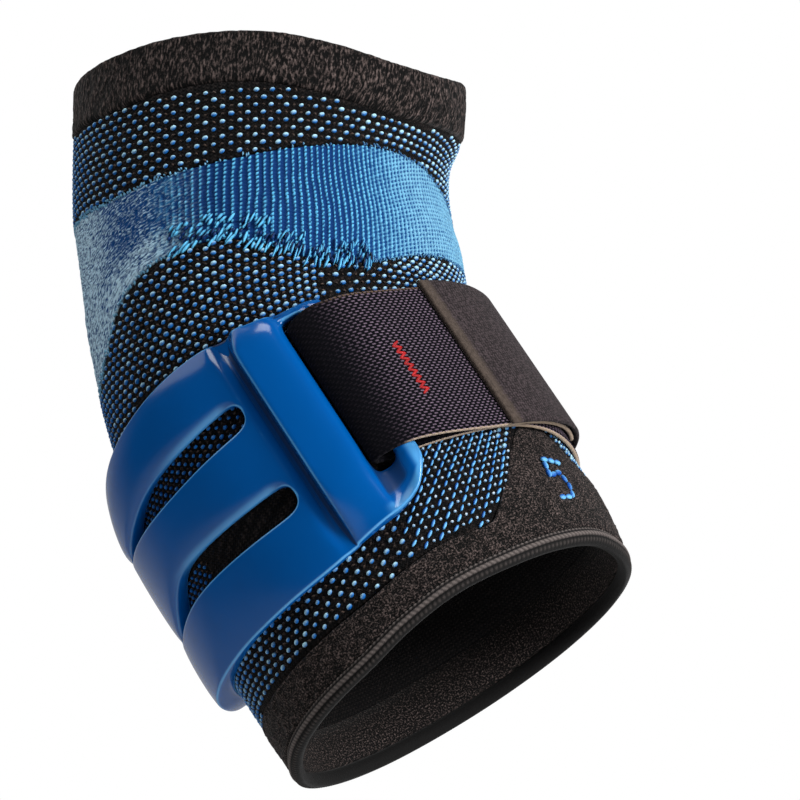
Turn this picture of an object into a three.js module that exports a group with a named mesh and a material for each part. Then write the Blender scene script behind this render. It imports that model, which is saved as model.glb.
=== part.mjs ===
// Elbow support for tennis elbow: a knitted sleeve on a bent arm, a moulded pressure plate with a
// strap frame, and an elastic strap with a hook tab.
// Millimetres and degrees. +Z runs up the upper arm, +X to the front of the arm, -Y to its outer side.
// The origin is the middle of the elbow, where the axes of the upper arm and the forearm cross.
import * as THREE from 'three';
import { mergeVertices } from 'three/addons/utils/BufferGeometryUtils.js';

// The bent arm that the sleeve follows
const FLEX = 32; // the elbow's bend, from a straight arm
const BEND_RADIUS = 60; // of the centreline round the elbow
const BEND_TANGENT = BEND_RADIUS * Math.tan(THREE.MathUtils.degToRad(FLEX / 2));
const BEND_HALF = (BEND_RADIUS * THREE.MathUtils.degToRad(FLEX)) / 2;

// The sleeve's outside: half widths to the front, the back and the sides. A station is the distance
// along the centreline from the middle of the elbow, negative up the arm.
const SECTIONS = [
  { station: -80, front: 48.4, back: 51.0, side: 43.3 },
  { station: -63, front: 47.6, back: 51.2, side: 43.5 },
  { station: -55, front: 44.6, back: 51.2, side: 43.5 },
  { station: -46, front: 44.2, back: 51.0, side: 43.5 },
  { station: -38, front: 45.4, back: 50.5, side: 43.5 },
  { station: -29, front: 47.8, back: 49.2, side: 43.6 },
  { station: -16, front: 48.8, back: 47.2, side: 43.8 },
  { station: -6, front: 47.8, back: 45.5, side: 44.0 },
  { station: 6, front: 47.4, back: 45.6, side: 44.0 },
  { station: 18, front: 48.6, back: 47.6, side: 44.0 },
  { station: 30, front: 50.2, back: 48.4, side: 44.0 },
  { station: 42, front: 50.4, back: 48.5, side: 44.0 },
  { station: 56, front: 50.4, back: 48.5, side: 44.0 },
  { station: 70, front: 50.4, back: 48.5, side: 44.0 },
  { station: 80, front: 49.4, back: 48.2, side: 43.6 },
  { station: 92, front: 47.0, back: 47.6, side: 42.8 },
];

// The knit
const KNIT_WALL = 2.0;
const CUFF_PROUD = 0.7; // how far the plush of the cuffs stands out from the knit
const CUFF_ROUND = 0.8; // the soft edge of the upper cuff
// The lower cuff's plush is pressed flat up to one station, under the strap, and full from another
const PRESSED_PLUSH = { flatTo: 62, fullFrom: 72 };
const SEAM_GAP = 0.3; // between two knit zones
const COLUMNS = 60; // facets round the sleeve
const ZONE_ROWS = { upperCuff: 2, upperKnit: 3, stretchPanel: 6, forearmKnit: 9, lowerCuff: 4 };
// The top rim, the end of the upper cuff and the lower rim, as stations by the angle round the arm
const RIMS = [
  { angle: -180, top: -76.4, cuffEnd: -63.2, bottom: 91.8 },
  { angle: -154, top: -75.4, cuffEnd: -61.0, bottom: 90.0 },
  { angle: -132, top: -75.0, cuffEnd: -59.8, bottom: 89.0 },
  { angle: -112, top: -75.3, cuffEnd: -61.2, bottom: 88.2 },
  { angle: -96, top: -75.2, cuffEnd: -61.7, bottom: 86.3 },
  { angle: -80, top: -74.3, cuffEnd: -60.8, bottom: 85.1 },
  { angle: -62, top: -72.0, cuffEnd: -58.5, bottom: 85.5 },
  { angle: -44, top: -69.9, cuffEnd: -56.8, bottom: 86.1 },
  { angle: -26, top: -70.4, cuffEnd: -57.4, bottom: 87.2 },
  { angle: -12, top: -72.6, cuffEnd: -58.9, bottom: 89.2 },
  { angle: 0, top: -75.2, cuffEnd: -60.4, bottom: 90.4 },
  { angle: 14, top: -77.4, cuffEnd: -62.4, bottom: 91.0 },
  { angle: 32, top: -79.0, cuffEnd: -64.2, bottom: 91.0 },
  { angle: 54, top: -79.6, cuffEnd: -65.0, bottom: 90.6 },
  { angle: 80, top: -79.2, cuffEnd: -65.0, bottom: 90.2 },
  { angle: 106, top: -78.4, cuffEnd: -64.6, bottom: 90.2 },
  { angle: 134, top: -77.6, cuffEnd: -64.0, bottom: 90.8 },
  { angle: 158, top: -76.9, cuffEnd: -63.5, bottom: 91.4 },
  { angle: 180, top: -76.4, cuffEnd: -63.2, bottom: 91.8 },
];
// Where the lower cuff starts, as stations by the angle round the arm. A patch of its plush reaches up
// the front of the forearm, under the strap.
const LOWER_CUFF = [
  { angle: -180, start: 77.0 },
  { angle: -160, start: 76.2 },
  { angle: -138, start: 76.0 },
  { angle: -116, start: 75.6 },
  { angle: -102, start: 75.3 },
  { angle: -90, start: 74.2 },
  { angle: -78, start: 73.4 },
  { angle: -68, start: 74.2 },
  { angle: -61, start: 74.2 },
  { angle: -56, start: 71.0 },
  { angle: -48, start: 64.6 },
  { angle: -40, start: 58.2 },
  { angle: -32, start: 53.2 },
  { angle: -26, start: 51.6 },
  { angle: -20, start: 54.6 },
  { angle: -12, start: 61.4 },
  { angle: -4, start: 67.0 },
  { angle: 6, start: 72.4 },
  { angle: 18, start: 75.4 },
  { angle: 40, start: 75.6 },
  { angle: 90, start: 74.6 },
  { angle: 140, start: 76.0 },
  { angle: 180, start: 77.0 },
];
const HEM_HEIGHT = 3.8; // the rolled hem at the end of the lower cuff
const HEM_THICKNESS = 3.6;
const HEM_LIFT = -0.65; // of the roll's middle, from the knit's outside
const HEM_SIDES = 8;

// The light stretch panel runs round the arm above the elbow and widens at its back.
// Stations of its upper and lower boundary, by the angle round the arm.
const STRETCH_PANEL = [
  { angle: -180, upper: -38.0, lower: -3.0 },
  { angle: -162, upper: -37.6, lower: -3.6 },
  { angle: -148, upper: -36.8, lower: -6.0 },
  { angle: -136, upper: -36.6, lower: -11.2 },
  { angle: -124, upper: -37.4, lower: -15.4 },
  { angle: -112, upper: -39.2, lower: -18.5 },
  { angle: -100, upper: -40.6, lower: -20.6 },
  { angle: -90, upper: -41.9, lower: -20.6 },
  { angle: -78, upper: -43.6, lower: -18.0 },
  { angle: -66, upper: -45.2, lower: -14.6 },
  { angle: -54, upper: -46.6, lower: -15.2 },
  { angle: -40, upper: -47.4, lower: -19.4 },
  { angle: -24, upper: -46.6, lower: -22.6 },
  { angle: -10, upper: -43.6, lower: -23.8 },
  { angle: 0, upper: -41.0, lower: -24.0 },
  { angle: 12, upper: -39.2, lower: -23.6 },
  { angle: 28, upper: -38.8, lower: -22.0 },
  { angle: 46, upper: -40.2, lower: -19.0 },
  { angle: 62, upper: -41.8, lower: -16.4 },
  { angle: 80, upper: -42.4, lower: -17.2 },
  { angle: 98, upper: -41.6, lower: -19.6 },
  { angle: 114, upper: -40.0, lower: -18.6 },
  { angle: 130, upper: -38.2, lower: -13.6 },
  { angle: 146, upper: -37.2, lower: -7.4 },
  { angle: 162, upper: -37.6, lower: -4.0 },
  { angle: 180, upper: -38.0, lower: -3.0 },
];

// The plate and the strap lie round the straight forearm, on this section of the sleeve
const BRACE_SECTION = { front: 50.5, back: 48.5, side: 44.0 };

// The pressure plate, from its back end round to the strap rail. For each angle: the distance along
// the forearm of its top and bottom edge, the lift of its underside and its outside above the
// sleeve, and the lift of its outside along the bottom edge.
const PLATE = [
  { angle: -206, top: 24.0, bottom: 58.0, under: 2.6, over: 4.3, foot: 4.2 },
  { angle: -203, top: 19.5, bottom: 62.0, under: 2.6, over: 4.9, foot: 4.5 },
  { angle: -197, top: 16.5, bottom: 64.4, under: 2.6, over: 5.1, foot: 4.6 },
  { angle: -188, top: 14.6, bottom: 65.0, under: 2.6, over: 5.1, foot: 4.6 },
  { angle: -181, top: 13.2, bottom: 65.0, under: 2.5, over: 5.0, foot: 4.5 },
  { angle: -175, top: 11.2, bottom: 65.0, under: 2.2, over: 4.8, foot: 4.3 },
  { angle: -172, top: 10.0, bottom: 65.0, under: 2.0, over: 4.7, foot: 4.2 },
  { angle: -165, top: 7.3, bottom: 65.0, under: 1.7, over: 4.4, foot: 3.9 },
  { angle: -158, top: 5.2, bottom: 65.0, under: 1.4, over: 4.0, foot: 3.5 },
  { angle: -151, top: 3.9, bottom: 65.0, under: 1.1, over: 3.7, foot: 3.2 },
  { angle: -144, top: 2.9, bottom: 64.9, under: 0.8, over: 3.4, foot: 2.9 },
  { angle: -137, top: 2.1, bottom: 64.9, under: 0.6, over: 3.1, foot: 2.6 },
  { angle: -130, top: 1.5, bottom: 65.0, under: 0.5, over: 3.0, foot: 2.5 },
  { angle: -122, top: 1.0, bottom: 65.1, under: 0.5, over: 3.0, foot: 2.5 },
  { angle: -114, top: 0.8, bottom: 65.2, under: 0.5, over: 3.0, foot: 2.5 },
  { angle: -107, top: 1.0, bottom: 65.2, under: 0.5, over: 3.0, foot: 2.5 },
  { angle: -104.4, top: 1.2, bottom: 65.1, under: 0.5, over: 3.0, foot: 2.5 },
  { angle: -103, top: 1.3, bottom: 65.0, under: 0.5, over: 3.0, foot: 2.5 },
  { angle: -99.6, top: 1.7, bottom: 64.8, under: 0.5, over: 3.2, foot: 2.7 },
  { angle: -97.8, top: 2.0, bottom: 64.6, under: 0.5, over: 2.3, foot: 2.7 },
  { angle: -95.4, top: 2.4, bottom: 64.4, under: 0.5, over: 2.3, foot: 2.9 },
  { angle: -94.2, top: 2.7, bottom: 64.2, under: 0.5, over: 6.2, foot: 3.4 },
  { angle: -92.8, top: 3.0, bottom: 64.0, under: 0.5, over: 6.8, foot: 3.8 },
  { angle: -88, top: 3.6, bottom: 63.6, under: 0.5, over: 6.9, foot: 4.2 },
  { angle: -84, top: 4.2, bottom: 63.2, under: 0.5, over: 6.5, foot: 4.4 },
  { angle: -82.6, top: 4.4, bottom: 63.0, under: 0.6, over: 5.6, foot: 4.4 },
  { angle: -79, top: 4.9, bottom: 62.2, under: 1.4, over: 5.4, foot: 4.4 },
  { angle: -75, top: 5.4, bottom: 60.6, under: 2.5, over: 5.4, foot: 4.6 },
  { angle: -72, top: 5.9, bottom: 58.0, under: 2.5, over: 5.6, foot: 4.8 },
  { angle: -70.2, top: 6.3, bottom: 55.6, under: 2.5, over: 5.3, foot: 4.8 },
  { angle: -69, top: 6.8, bottom: 53.0, under: 2.6, over: 4.6, foot: 4.4 },
];
const EDGE_DROP = 0.6; // the rounding of the plate's top edge
// Two long slots part the plate into three fingers. Each tapers towards the back.
const SLOT_START = -175;
const SLOT_END = -103;
const SLOTS = [
  { middle: 21.3, drift: 0.2, half: 4.1, taperFrom: -118 },
  { middle: 45.4, drift: -2.7, half: 4.3, taperFrom: -138 },
];
const SLOT_TIP_HALF = 0.9;
const SLOT_ROUND = 4; // the round at the front end of a slot, in degrees
const SLOT_LEAST = 0.2; // the share of that round that a slot's blunt end keeps
const SLOT_ROWS = [2, 5]; // the rows of cells that the slots open
const POCKET_LINES = 7; // lines across the strap's pocket
// The strap passes up through the pocket between the bar and the rail
const POCKET = { start: -82.6, end: -75, top: 7.6, bottomInset: 2.6, barInset: 8.0 };

// The strap: its middle's angle round the forearm and lift above the sleeve, and where its top and
// bottom edge lie along the forearm. It runs from the free end back over the rail, down through the
// pocket, under the rail and round the arm to the plate's back end, and is narrowest in the pocket.
const STRAP_THICKNESS = 1.4;
const STRAP_STEPS = 84;
const STRAP_ROUTE = [
  { angle: 5, lift: 3.0, top: 15.6, bottom: 55.8 },
  { angle: -6, lift: 3.0, top: 15.4, bottom: 55.8 },
  { angle: -20, lift: 3.0, top: 14.5, bottom: 55.7 },
  { angle: -34, lift: 3.05, top: 13.3, bottom: 55.1 },
  { angle: -46, lift: 3.6, top: 12.3, bottom: 54.3 },
  { angle: -56, lift: 4.9, top: 11.0, bottom: 53.0 },
  { angle: -64, lift: 6.2, top: 9.6, bottom: 51.6 },
  { angle: -69, lift: 6.65, top: 9.0, bottom: 50.6 },
  { angle: -73.4, lift: 6.6, top: 8.6, bottom: 50.0 },
  { angle: -77.2, lift: 5.8, top: 8.9, bottom: 49.7 },
  { angle: -79.8, lift: 4.2, top: 9.6, bottom: 49.4 },
  { angle: -79.8, lift: 2.5, top: 10.2, bottom: 49.6 },
  { angle: -77.4, lift: 1.4, top: 10.4, bottom: 49.8 },
  { angle: -73, lift: 1.2, top: 10.4, bottom: 50.2 },
  { angle: -64, lift: 1.2, top: 10.8, bottom: 51.2 },
  { angle: -52, lift: 1.2, top: 11.8, bottom: 52.6 },
  { angle: -38, lift: 1.2, top: 13.0, bottom: 54.0 },
  { angle: -22, lift: 1.2, top: 15.0, bottom: 56.2 },
  { angle: 0, lift: 1.2, top: 18.8, bottom: 60.2 },
  { angle: 25, lift: 1.2, top: 21.8, bottom: 63.6 },
  { angle: 50, lift: 1.2, top: 22.8, bottom: 64.8 },
  { angle: 75, lift: 1.2, top: 22.4, bottom: 64.4 },
  { angle: 100, lift: 1.2, top: 21.4, bottom: 63.4 },
  { angle: 125, lift: 1.2, top: 20.2, bottom: 62.2 },
  { angle: 150, lift: 1.2, top: 19.0, bottom: 61.0 },
  { angle: 172, lift: 1.2, top: 18.0, bottom: 60.0 },
];

// The hook tab over the strap's free end, told as the strap is
const TAB_THICKNESS = 1.2;
const TAB_STEPS = 22;
const TAB_ROUTE = [
  { angle: -41, lift: 4.9, top: 11.8, bottom: 55.4 },
  { angle: -34, lift: 4.7, top: 12.6, bottom: 55.8 },
  { angle: -20, lift: 4.6, top: 14.0, bottom: 56.4 },
  { angle: -6, lift: 4.6, top: 15.1, bottom: 56.2 },
  { angle: 5, lift: 4.6, top: 15.5, bottom: 56.0 },
  { angle: 12, lift: 4.1, top: 15.7, bottom: 55.9 },
  { angle: 19, lift: 3.0, top: 15.9, bottom: 55.8 },
  { angle: 26, lift: 2.8, top: 16.0, bottom: 55.8 },
  { angle: 34, lift: 2.8, top: 16.1, bottom: 55.8 },
];

// Reads a table at any value of its key column, along a smooth curve through its rows. A table that is
// read by angle has flat ends, so that it closes smoothly at the back of the arm.
function tableCurve(rows, key, ending = THREE.ZeroCurvatureEnding) {
  const names = Object.keys(rows[0]).filter((name) => name !== key);
  const keys = rows.map((row) => row[key]);
  const values = rows.flatMap((row) => names.map((name) => row[name]));
  const found = new Float64Array(names.length);
  const curve = new THREE.CubicInterpolant(keys, values, names.length, found);
  curve.settings = { endingStart: ending, endingEnd: ending };
  return (at) => {
    curve.evaluate(at);
    return Object.fromEntries(names.map((name, i) => [name, found[i]]));
  };
}

const sectionAt = tableCurve(SECTIONS, 'station');
const rimsAt = tableCurve(RIMS, 'angle', THREE.ZeroSlopeEnding);
const lowerCuffAt = tableCurve(LOWER_CUFF, 'angle', THREE.ZeroSlopeEnding);
const stretchPanelAt = tableCurve(STRETCH_PANEL, 'angle', THREE.ZeroSlopeEnding);

// The centreline at a station: its point and how far it has turned towards the front, in radians.
function centrelineAt(station) {
  const onBend = THREE.MathUtils.clamp(station, -BEND_HALF, BEND_HALF);
  const turn = (onBend + BEND_HALF) / BEND_RADIUS;
  const ahead = BEND_RADIUS * (1 - Math.cos(turn));
  const up = BEND_TANGENT - BEND_RADIUS * Math.sin(turn);
  const way = new THREE.Vector3(Math.sin(turn), 0, -Math.cos(turn));
  const point = new THREE.Vector3(ahead, 0, up).addScaledVector(way, station - onBend);
  return { point, turn };
}

// A point at an angle round a section of the arm: 0 is the front, -90 the outer side.
function roundSection({ point, turn }, { front, back, side }, angle, lift) {
  const radians = THREE.MathUtils.degToRad(angle);
  const ahead = Math.cos(radians) * ((Math.cos(radians) > 0 ? front : back) + lift);
  const across = Math.sin(radians) * (side + lift);
  return new THREE.Vector3(point.x + ahead * Math.cos(turn), across, point.z + ahead * Math.sin(turn));
}

// A point on the sleeve, lifted off its outside.
function onSleeve(station, angle, lift) {
  return roundSection(centrelineAt(station), sectionAt(station), angle, lift);
}

// A point on the straight forearm, by its distance from the elbow's middle along the axis.
function onForearm(along, angle, lift) {
  const turn = THREE.MathUtils.degToRad(FLEX);
  const point = new THREE.Vector3(Math.sin(turn) * along, 0, -Math.cos(turn) * along);
  return roundSection({ point, turn }, BRACE_SECTION, angle, lift);
}

// A closed body from its corner points and outward quads, with the points that no quad uses left out.
function closedGeometry(points, quads) {
  const loose = new THREE.BufferGeometry().setFromPoints(points);
  loose.setIndex(quads.flatMap(([a, b, c, d]) => [a, b, c, a, c, d]));
  const geometry = mergeVertices(loose.toNonIndexed(), 1e-5);
  geometry.computeVertexNormals();
  return geometry;
}

// A wall that closes round the arm. sectionPoints(angle) gives the wall's closed section there.
function ringWall(sectionPoints) {
  const rings = Array.from({ length: COLUMNS }, (_, i) => sectionPoints((360 * i) / COLUMNS - 180));
  const size = rings[0].length;
  const quads = [];
  for (let i = 0; i < COLUMNS; i += 1) {
    const here = i * size;
    const next = ((i + 1) % COLUMNS) * size;
    for (let k = 0; k < size; k += 1) {
      const after = (k + 1) % size;
      quads.push([here + k, here + after, next + after, next + k]);
    }
  }
  return closedGeometry(rings.flat(), quads);
}

// A curved shell on a grid of columns and rows. Open cells are gaps in it, with walls round them.
function shellWithGaps(columns, rows, isOpen, outsideAt, insideAt) {
  const points = [];
  for (const pointAt of [outsideAt, insideAt]) {
    for (let i = 0; i < columns; i += 1) {
      for (let j = 0; j < rows; j += 1) points.push(pointAt(i, j));
    }
  }
  const outside = (i, j) => i * rows + j;
  const inside = (i, j) => (columns + i) * rows + j;
  const isGap = (i, j) => i < 0 || j < 0 || i >= columns - 1 || j >= rows - 1 || isOpen(i, j);
  const quads = [];
  const addWall = (i, j, m, n) => quads.push([outside(m, n), outside(i, j), inside(i, j), inside(m, n)]);
  for (let i = 0; i < columns - 1; i += 1) {
    for (let j = 0; j < rows - 1; j += 1) {
      if (isOpen(i, j)) continue;
      quads.push([outside(i, j), outside(i, j + 1), outside(i + 1, j + 1), outside(i + 1, j)]);
      quads.push([inside(i, j), inside(i + 1, j), inside(i + 1, j + 1), inside(i, j + 1)]);
      if (isGap(i, j - 1)) addWall(i + 1, j, i, j);
      if (isGap(i, j + 1)) addWall(i, j + 1, i + 1, j + 1);
      if (isGap(i - 1, j)) addWall(i, j, i, j + 1);
      if (isGap(i + 1, j)) addWall(i + 1, j + 1, i + 1, j);
    }
  }
  return closedGeometry(points, quads);
}

// A flat band of even thickness along a route round the forearm.
function band(route, thickness, steps) {
  const mmPerDegree = THREE.MathUtils.degToRad((BRACE_SECTION.back + BRACE_SECTION.side) / 2);
  const edgeLine = (edge) => new THREE.CatmullRomCurve3(
    route.map((row) => new THREE.Vector3(row.angle * mmPerDegree, row.lift, row[edge])),
  );
  const topLine = edgeLine('top');
  const bottomLine = edgeLine('bottom');
  const points = [];
  const quads = [];
  for (let i = 0; i <= steps; i += 1) {
    const share = topLine.getUtoTmapping(i / steps);
    const middle = topLine.getPoint(share);
    const bottom = bottomLine.getPoint(share).z;
    const way = topLine.getTangent(share);
    const normal = new THREE.Vector2(-way.y, way.x).setLength(thickness / 2);
    for (const [side, edge] of [[1, middle.z], [-1, middle.z], [-1, bottom], [1, bottom]]) {
      const angle = (middle.x + side * normal.x) / mmPerDegree;
      points.push(onForearm(edge, angle, middle.y + side * normal.y));
    }
    for (let k = 0; i > 0 && k < 4; k += 1) {
      const after = (k + 1) % 4;
      quads.push([4 * i - 4 + k, 4 * i + k, 4 * i + after, 4 * i - 4 + after]);
    }
  }
  const last = 4 * steps;
  quads.push([0, 1, 2, 3], [last + 3, last + 2, last + 1, last]);
  return closedGeometry(points, quads);
}

// Where the knit zones meet, as stations by the angle round the arm
const topRim = (angle) => rimsAt(angle).top;
const upperCuffEnd = (angle) => rimsAt(angle).cuffEnd;
const panelUpper = (angle) => stretchPanelAt(angle).upper;
const panelLower = (angle) => stretchPanelAt(angle).lower;
const lowerCuffStart = (angle) => lowerCuffAt(angle).start;
const lowerRim = (angle) => rimsAt(angle).bottom;
const hemStart = (angle) => lowerRim(angle) - HEM_HEIGHT;

// How far each kind of zone stands out from the knit, by the station
const plainKnit = () => 0;
const fullPlush = () => CUFF_PROUD;
function pressedPlush(station) {
  return CUFF_PROUD * THREE.MathUtils.smoothstep(station, PRESSED_PLUSH.flatTo, PRESSED_PLUSH.fullFrom);
}

// One zone of the sleeve's wall, between two boundaries and in a number of rows.
function knitZone(upper, lower, rows, proudAt = plainKnit, roundUpper = 0) {
  return ringWall((angle) => {
    const from = upper(angle) + SEAM_GAP / 2;
    const to = lower(angle) - SEAM_GAP / 2;
    const stations = Array.from({ length: rows + 1 }, (_, j) => from + ((to - from) * j) / rows);
    const outside = stations.map((station) => onSleeve(station, angle, proudAt(station)));
    const inside = stations.reverse().map((station) => onSleeve(station, angle, -KNIT_WALL));
    const edge = roundUpper ? [onSleeve(from - roundUpper, angle, (proudAt(from) - KNIT_WALL) / 2)] : [];
    return [...outside, ...inside, ...edge];
  });
}

// The rolled hem: a soft round bead that closes the lower cuff.
function hemRoll() {
  return ringWall((angle) => {
    const middle = hemStart(angle) + (HEM_HEIGHT + SEAM_GAP) / 2;
    return Array.from({ length: HEM_SIDES }, (_, k) => {
      const round = (2 * Math.PI * (k + 0.5)) / HEM_SIDES;
      const station = middle + ((HEM_HEIGHT - SEAM_GAP) / 2) * Math.sin(round);
      return onSleeve(station, angle, HEM_LIFT + (HEM_THICKNESS / 2) * Math.cos(round));
    });
  });
}

// The edges of a slot in the plate at an angle.
function slotEdges({ middle, drift, half, taperFrom }, angle) {
  const taper = THREE.MathUtils.smoothstep(-angle, -taperFrom, -SLOT_START);
  const fromEnd = THREE.MathUtils.clamp((SLOT_END - angle) / SLOT_ROUND, SLOT_LEAST, 1);
  const width = THREE.MathUtils.lerp(half, SLOT_TIP_HALF, taper) * Math.sqrt(1 - (1 - fromEnd) ** 2);
  const centre = middle + drift * THREE.MathUtils.smoothstep(-angle, -SLOT_END, -taperFrom);
  return [centre - width, centre + width];
}

// The pressure plate with its slots, groove, raised bar and strap rail, moulded in one piece.
function pressurePlate() {
  const rowsAt = PLATE.map(({ angle, top, bottom }) => {
    if (angle >= POCKET.start) {
      const end = bottom - POCKET.bottomInset;
      const step = (end - POCKET.top) / (POCKET_LINES - 1);
      const inner = Array.from({ length: POCKET_LINES }, (_, k) => POCKET.top + step * k);
      return [top, ...inner, bottom];
    }
    const [slotA, slotB] = SLOTS.map((slot) => slotEdges(slot, angle));
    const isBar = angle > SLOT_END;
    const first = isBar ? POCKET.top : (top + slotA[0]) / 2;
    const last = isBar ? bottom - POCKET.barInset : (bottom + slotB[1]) / 2;
    return [top, first, ...slotA, (slotA[1] + slotB[0]) / 2, ...slotB, last, bottom];
  });
  const rows = rowsAt[0].length;
  const isOpen = (i, j) => {
    const [from, to] = [PLATE[i].angle, PLATE[i + 1].angle];
    const inSlot = from >= SLOT_START && to <= SLOT_END && SLOT_ROWS.includes(j);
    const inPocket = from >= POCKET.start && to <= POCKET.end && j > 0 && j < rows - 2;
    return inSlot || inPocket;
  };
  const outsideAt = (i, j) => {
    const { angle, over, foot } = PLATE[i];
    const lift = j === 0 ? over - EDGE_DROP : j === rows - 1 ? foot : over;
    return onForearm(rowsAt[i][j], angle, lift);
  };
  const insideAt = (i, j) => onForearm(rowsAt[i][j], PLATE[i].angle, PLATE[i].under);
  return shellWithGaps(PLATE.length, rows, isOpen, outsideAt, insideAt);
}

// Finishes
const plushBlack = new THREE.MeshStandardMaterial({ color: 0x2a2725, roughness: 0.95, metalness: 0 });
const dottedKnit = new THREE.MeshStandardMaterial({ color: 0x1b2233, roughness: 0.9, metalness: 0 });
const stretchBlue = new THREE.MeshStandardMaterial({ color: 0x4a8fcb, roughness: 0.85, metalness: 0 });
const hemBlack = new THREE.MeshStandardMaterial({ color: 0x322e2d, roughness: 0.9, metalness: 0 });
const plateBlue = new THREE.MeshStandardMaterial({ color: 0x0c5ba8, roughness: 0.35, metalness: 0 });
const webbing = new THREE.MeshStandardMaterial({ color: 0x3a3436, roughness: 0.9, metalness: 0 });
const hookTape = new THREE.MeshStandardMaterial({ color: 0x4c4442, roughness: 0.95, metalness: 0 });

function piece(name, geometry, material) {
  const mesh = new THREE.Mesh(geometry, material);
  mesh.name = name;
  return mesh;
}

const sleeve = new THREE.Group();
sleeve.add(
  piece('upper_cuff', knitZone(topRim, upperCuffEnd, ZONE_ROWS.upperCuff, fullPlush, CUFF_ROUND), plushBlack),
  piece('upper_knit', knitZone(upperCuffEnd, panelUpper, ZONE_ROWS.upperKnit), dottedKnit),
  piece('stretch_panel', knitZone(panelUpper, panelLower, ZONE_ROWS.stretchPanel), stretchBlue),
  piece('forearm_knit', knitZone(panelLower, lowerCuffStart, ZONE_ROWS.forearmKnit), dottedKnit),
  piece('lower_cuff', knitZone(lowerCuffStart, hemStart, ZONE_ROWS.lowerCuff, pressedPlush), plushBlack),
  piece('hem_roll', hemRoll(), hemBlack),
);

const brace = new THREE.Group();
brace.add(
  piece('pressure_plate', pressurePlate(), plateBlue),
  piece('strap', band(STRAP_ROUTE, STRAP_THICKNESS, STRAP_STEPS), webbing),
  piece('strap_tab', band(TAB_ROUTE, TAB_THICKNESS, TAB_STEPS), hookTape),
);

const elbowSupport = new THREE.Group();
elbowSupport.add(sleeve, brace);
export default elbowSupport;
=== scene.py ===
"""Dresses the elbow support: a knitted sleeve with dots, plush cuffs, a moulded plate and a strap."""
import math

import bmesh
import bpy
import numpy as np
from bpy.props import FloatProperty, FloatVectorProperty, PointerProperty
from mathutils import Matrix, Quaternion, Vector


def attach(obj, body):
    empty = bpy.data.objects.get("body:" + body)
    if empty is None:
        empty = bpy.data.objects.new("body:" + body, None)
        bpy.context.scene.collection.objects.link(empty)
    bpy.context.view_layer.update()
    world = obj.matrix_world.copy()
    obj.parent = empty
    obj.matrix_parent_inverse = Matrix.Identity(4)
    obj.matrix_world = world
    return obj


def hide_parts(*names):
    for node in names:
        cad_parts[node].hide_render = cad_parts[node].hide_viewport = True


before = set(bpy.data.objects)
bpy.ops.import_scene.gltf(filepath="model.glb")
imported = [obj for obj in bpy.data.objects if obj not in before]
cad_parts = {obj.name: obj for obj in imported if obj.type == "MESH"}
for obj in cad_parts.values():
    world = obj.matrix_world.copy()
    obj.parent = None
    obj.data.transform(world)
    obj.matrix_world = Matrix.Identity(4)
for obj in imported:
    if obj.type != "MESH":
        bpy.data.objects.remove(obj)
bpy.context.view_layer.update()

bl_info = {
    "name": "Elbow support",
    "version": (1, 0, 0),
    "blender": (4, 5, 0),
    "location": "3D View > Sidebar > Elbow support",
    "description": "Builds a knitted elbow support with a pressure plate and a strap",
    "category": "Add Mesh",
}

MM = 0.001
RANDOM = np.random.default_rng(32)
STITCH_MAP = "Stitches"
RELIEF = "relief"
WASH = "wash"
HAZE = "haze"
TONE = "tone"
DRAPE = "drape"
# Worn look and painted highlight on the plate's edges, painted highlight on its slot lips and rim, painted
# shade in its hollows
WEAR_AND_PAINTED_LIGHT = "wear_and_painted_light"
DEEP = "deep"


def srgb(red, green, blue):
    """A screen colour of 0 to 255 as a linear colour with full alpha."""
    shares = [part / 255 for part in (red, green, blue)]
    linear = [s / 12.92 if s <= 0.04045 else ((s + 0.055) / 1.055) ** 2.4 for s in shares]
    return (*linear, 1.0)


def length(name, description, size):
    """A property that holds a length, given in millimetres."""
    return FloatProperty(name=name, description=description, default=size * MM, unit="LENGTH", precision=5)


def colour(name, description, red, green, blue):
    """A property that holds a colour."""
    return FloatVectorProperty(
        name=name, description=description, default=srgb(red, green, blue),
        subtype="COLOR", size=4, min=0.0, max=1.0,
    )


def turn_angle(name, description, degrees):
    """A property that holds an angle, given in degrees."""
    return FloatProperty(
        name=name, description=description, default=math.radians(degrees), subtype="ANGLE",
    )


def tinted(shade, share):
    """A colour made darker or lighter by a share."""
    return tuple(part * share for part in shade[:3]) + (1.0,)


# Sums and ramps
def running_total(steps):
    """The sums of the steps so far, from 0."""
    return np.concatenate([[0], np.cumsum(steps)])


def smooth_rise(value, low, high):
    """0 below low, 1 above high and smooth between them."""
    share = np.clip((value - low) / (high - low), 0, 1)
    return share * share * (3 - 2 * share)


def smooth_fall(value, low, high):
    """1 below low, 0 above high and smooth between them."""
    return 1 - smooth_rise(value, low, high)


def bump(value, middle, half, power=2):
    """1 in the middle, and falling off round its half width."""
    return np.exp(-((value - middle) / half) ** power)


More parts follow.
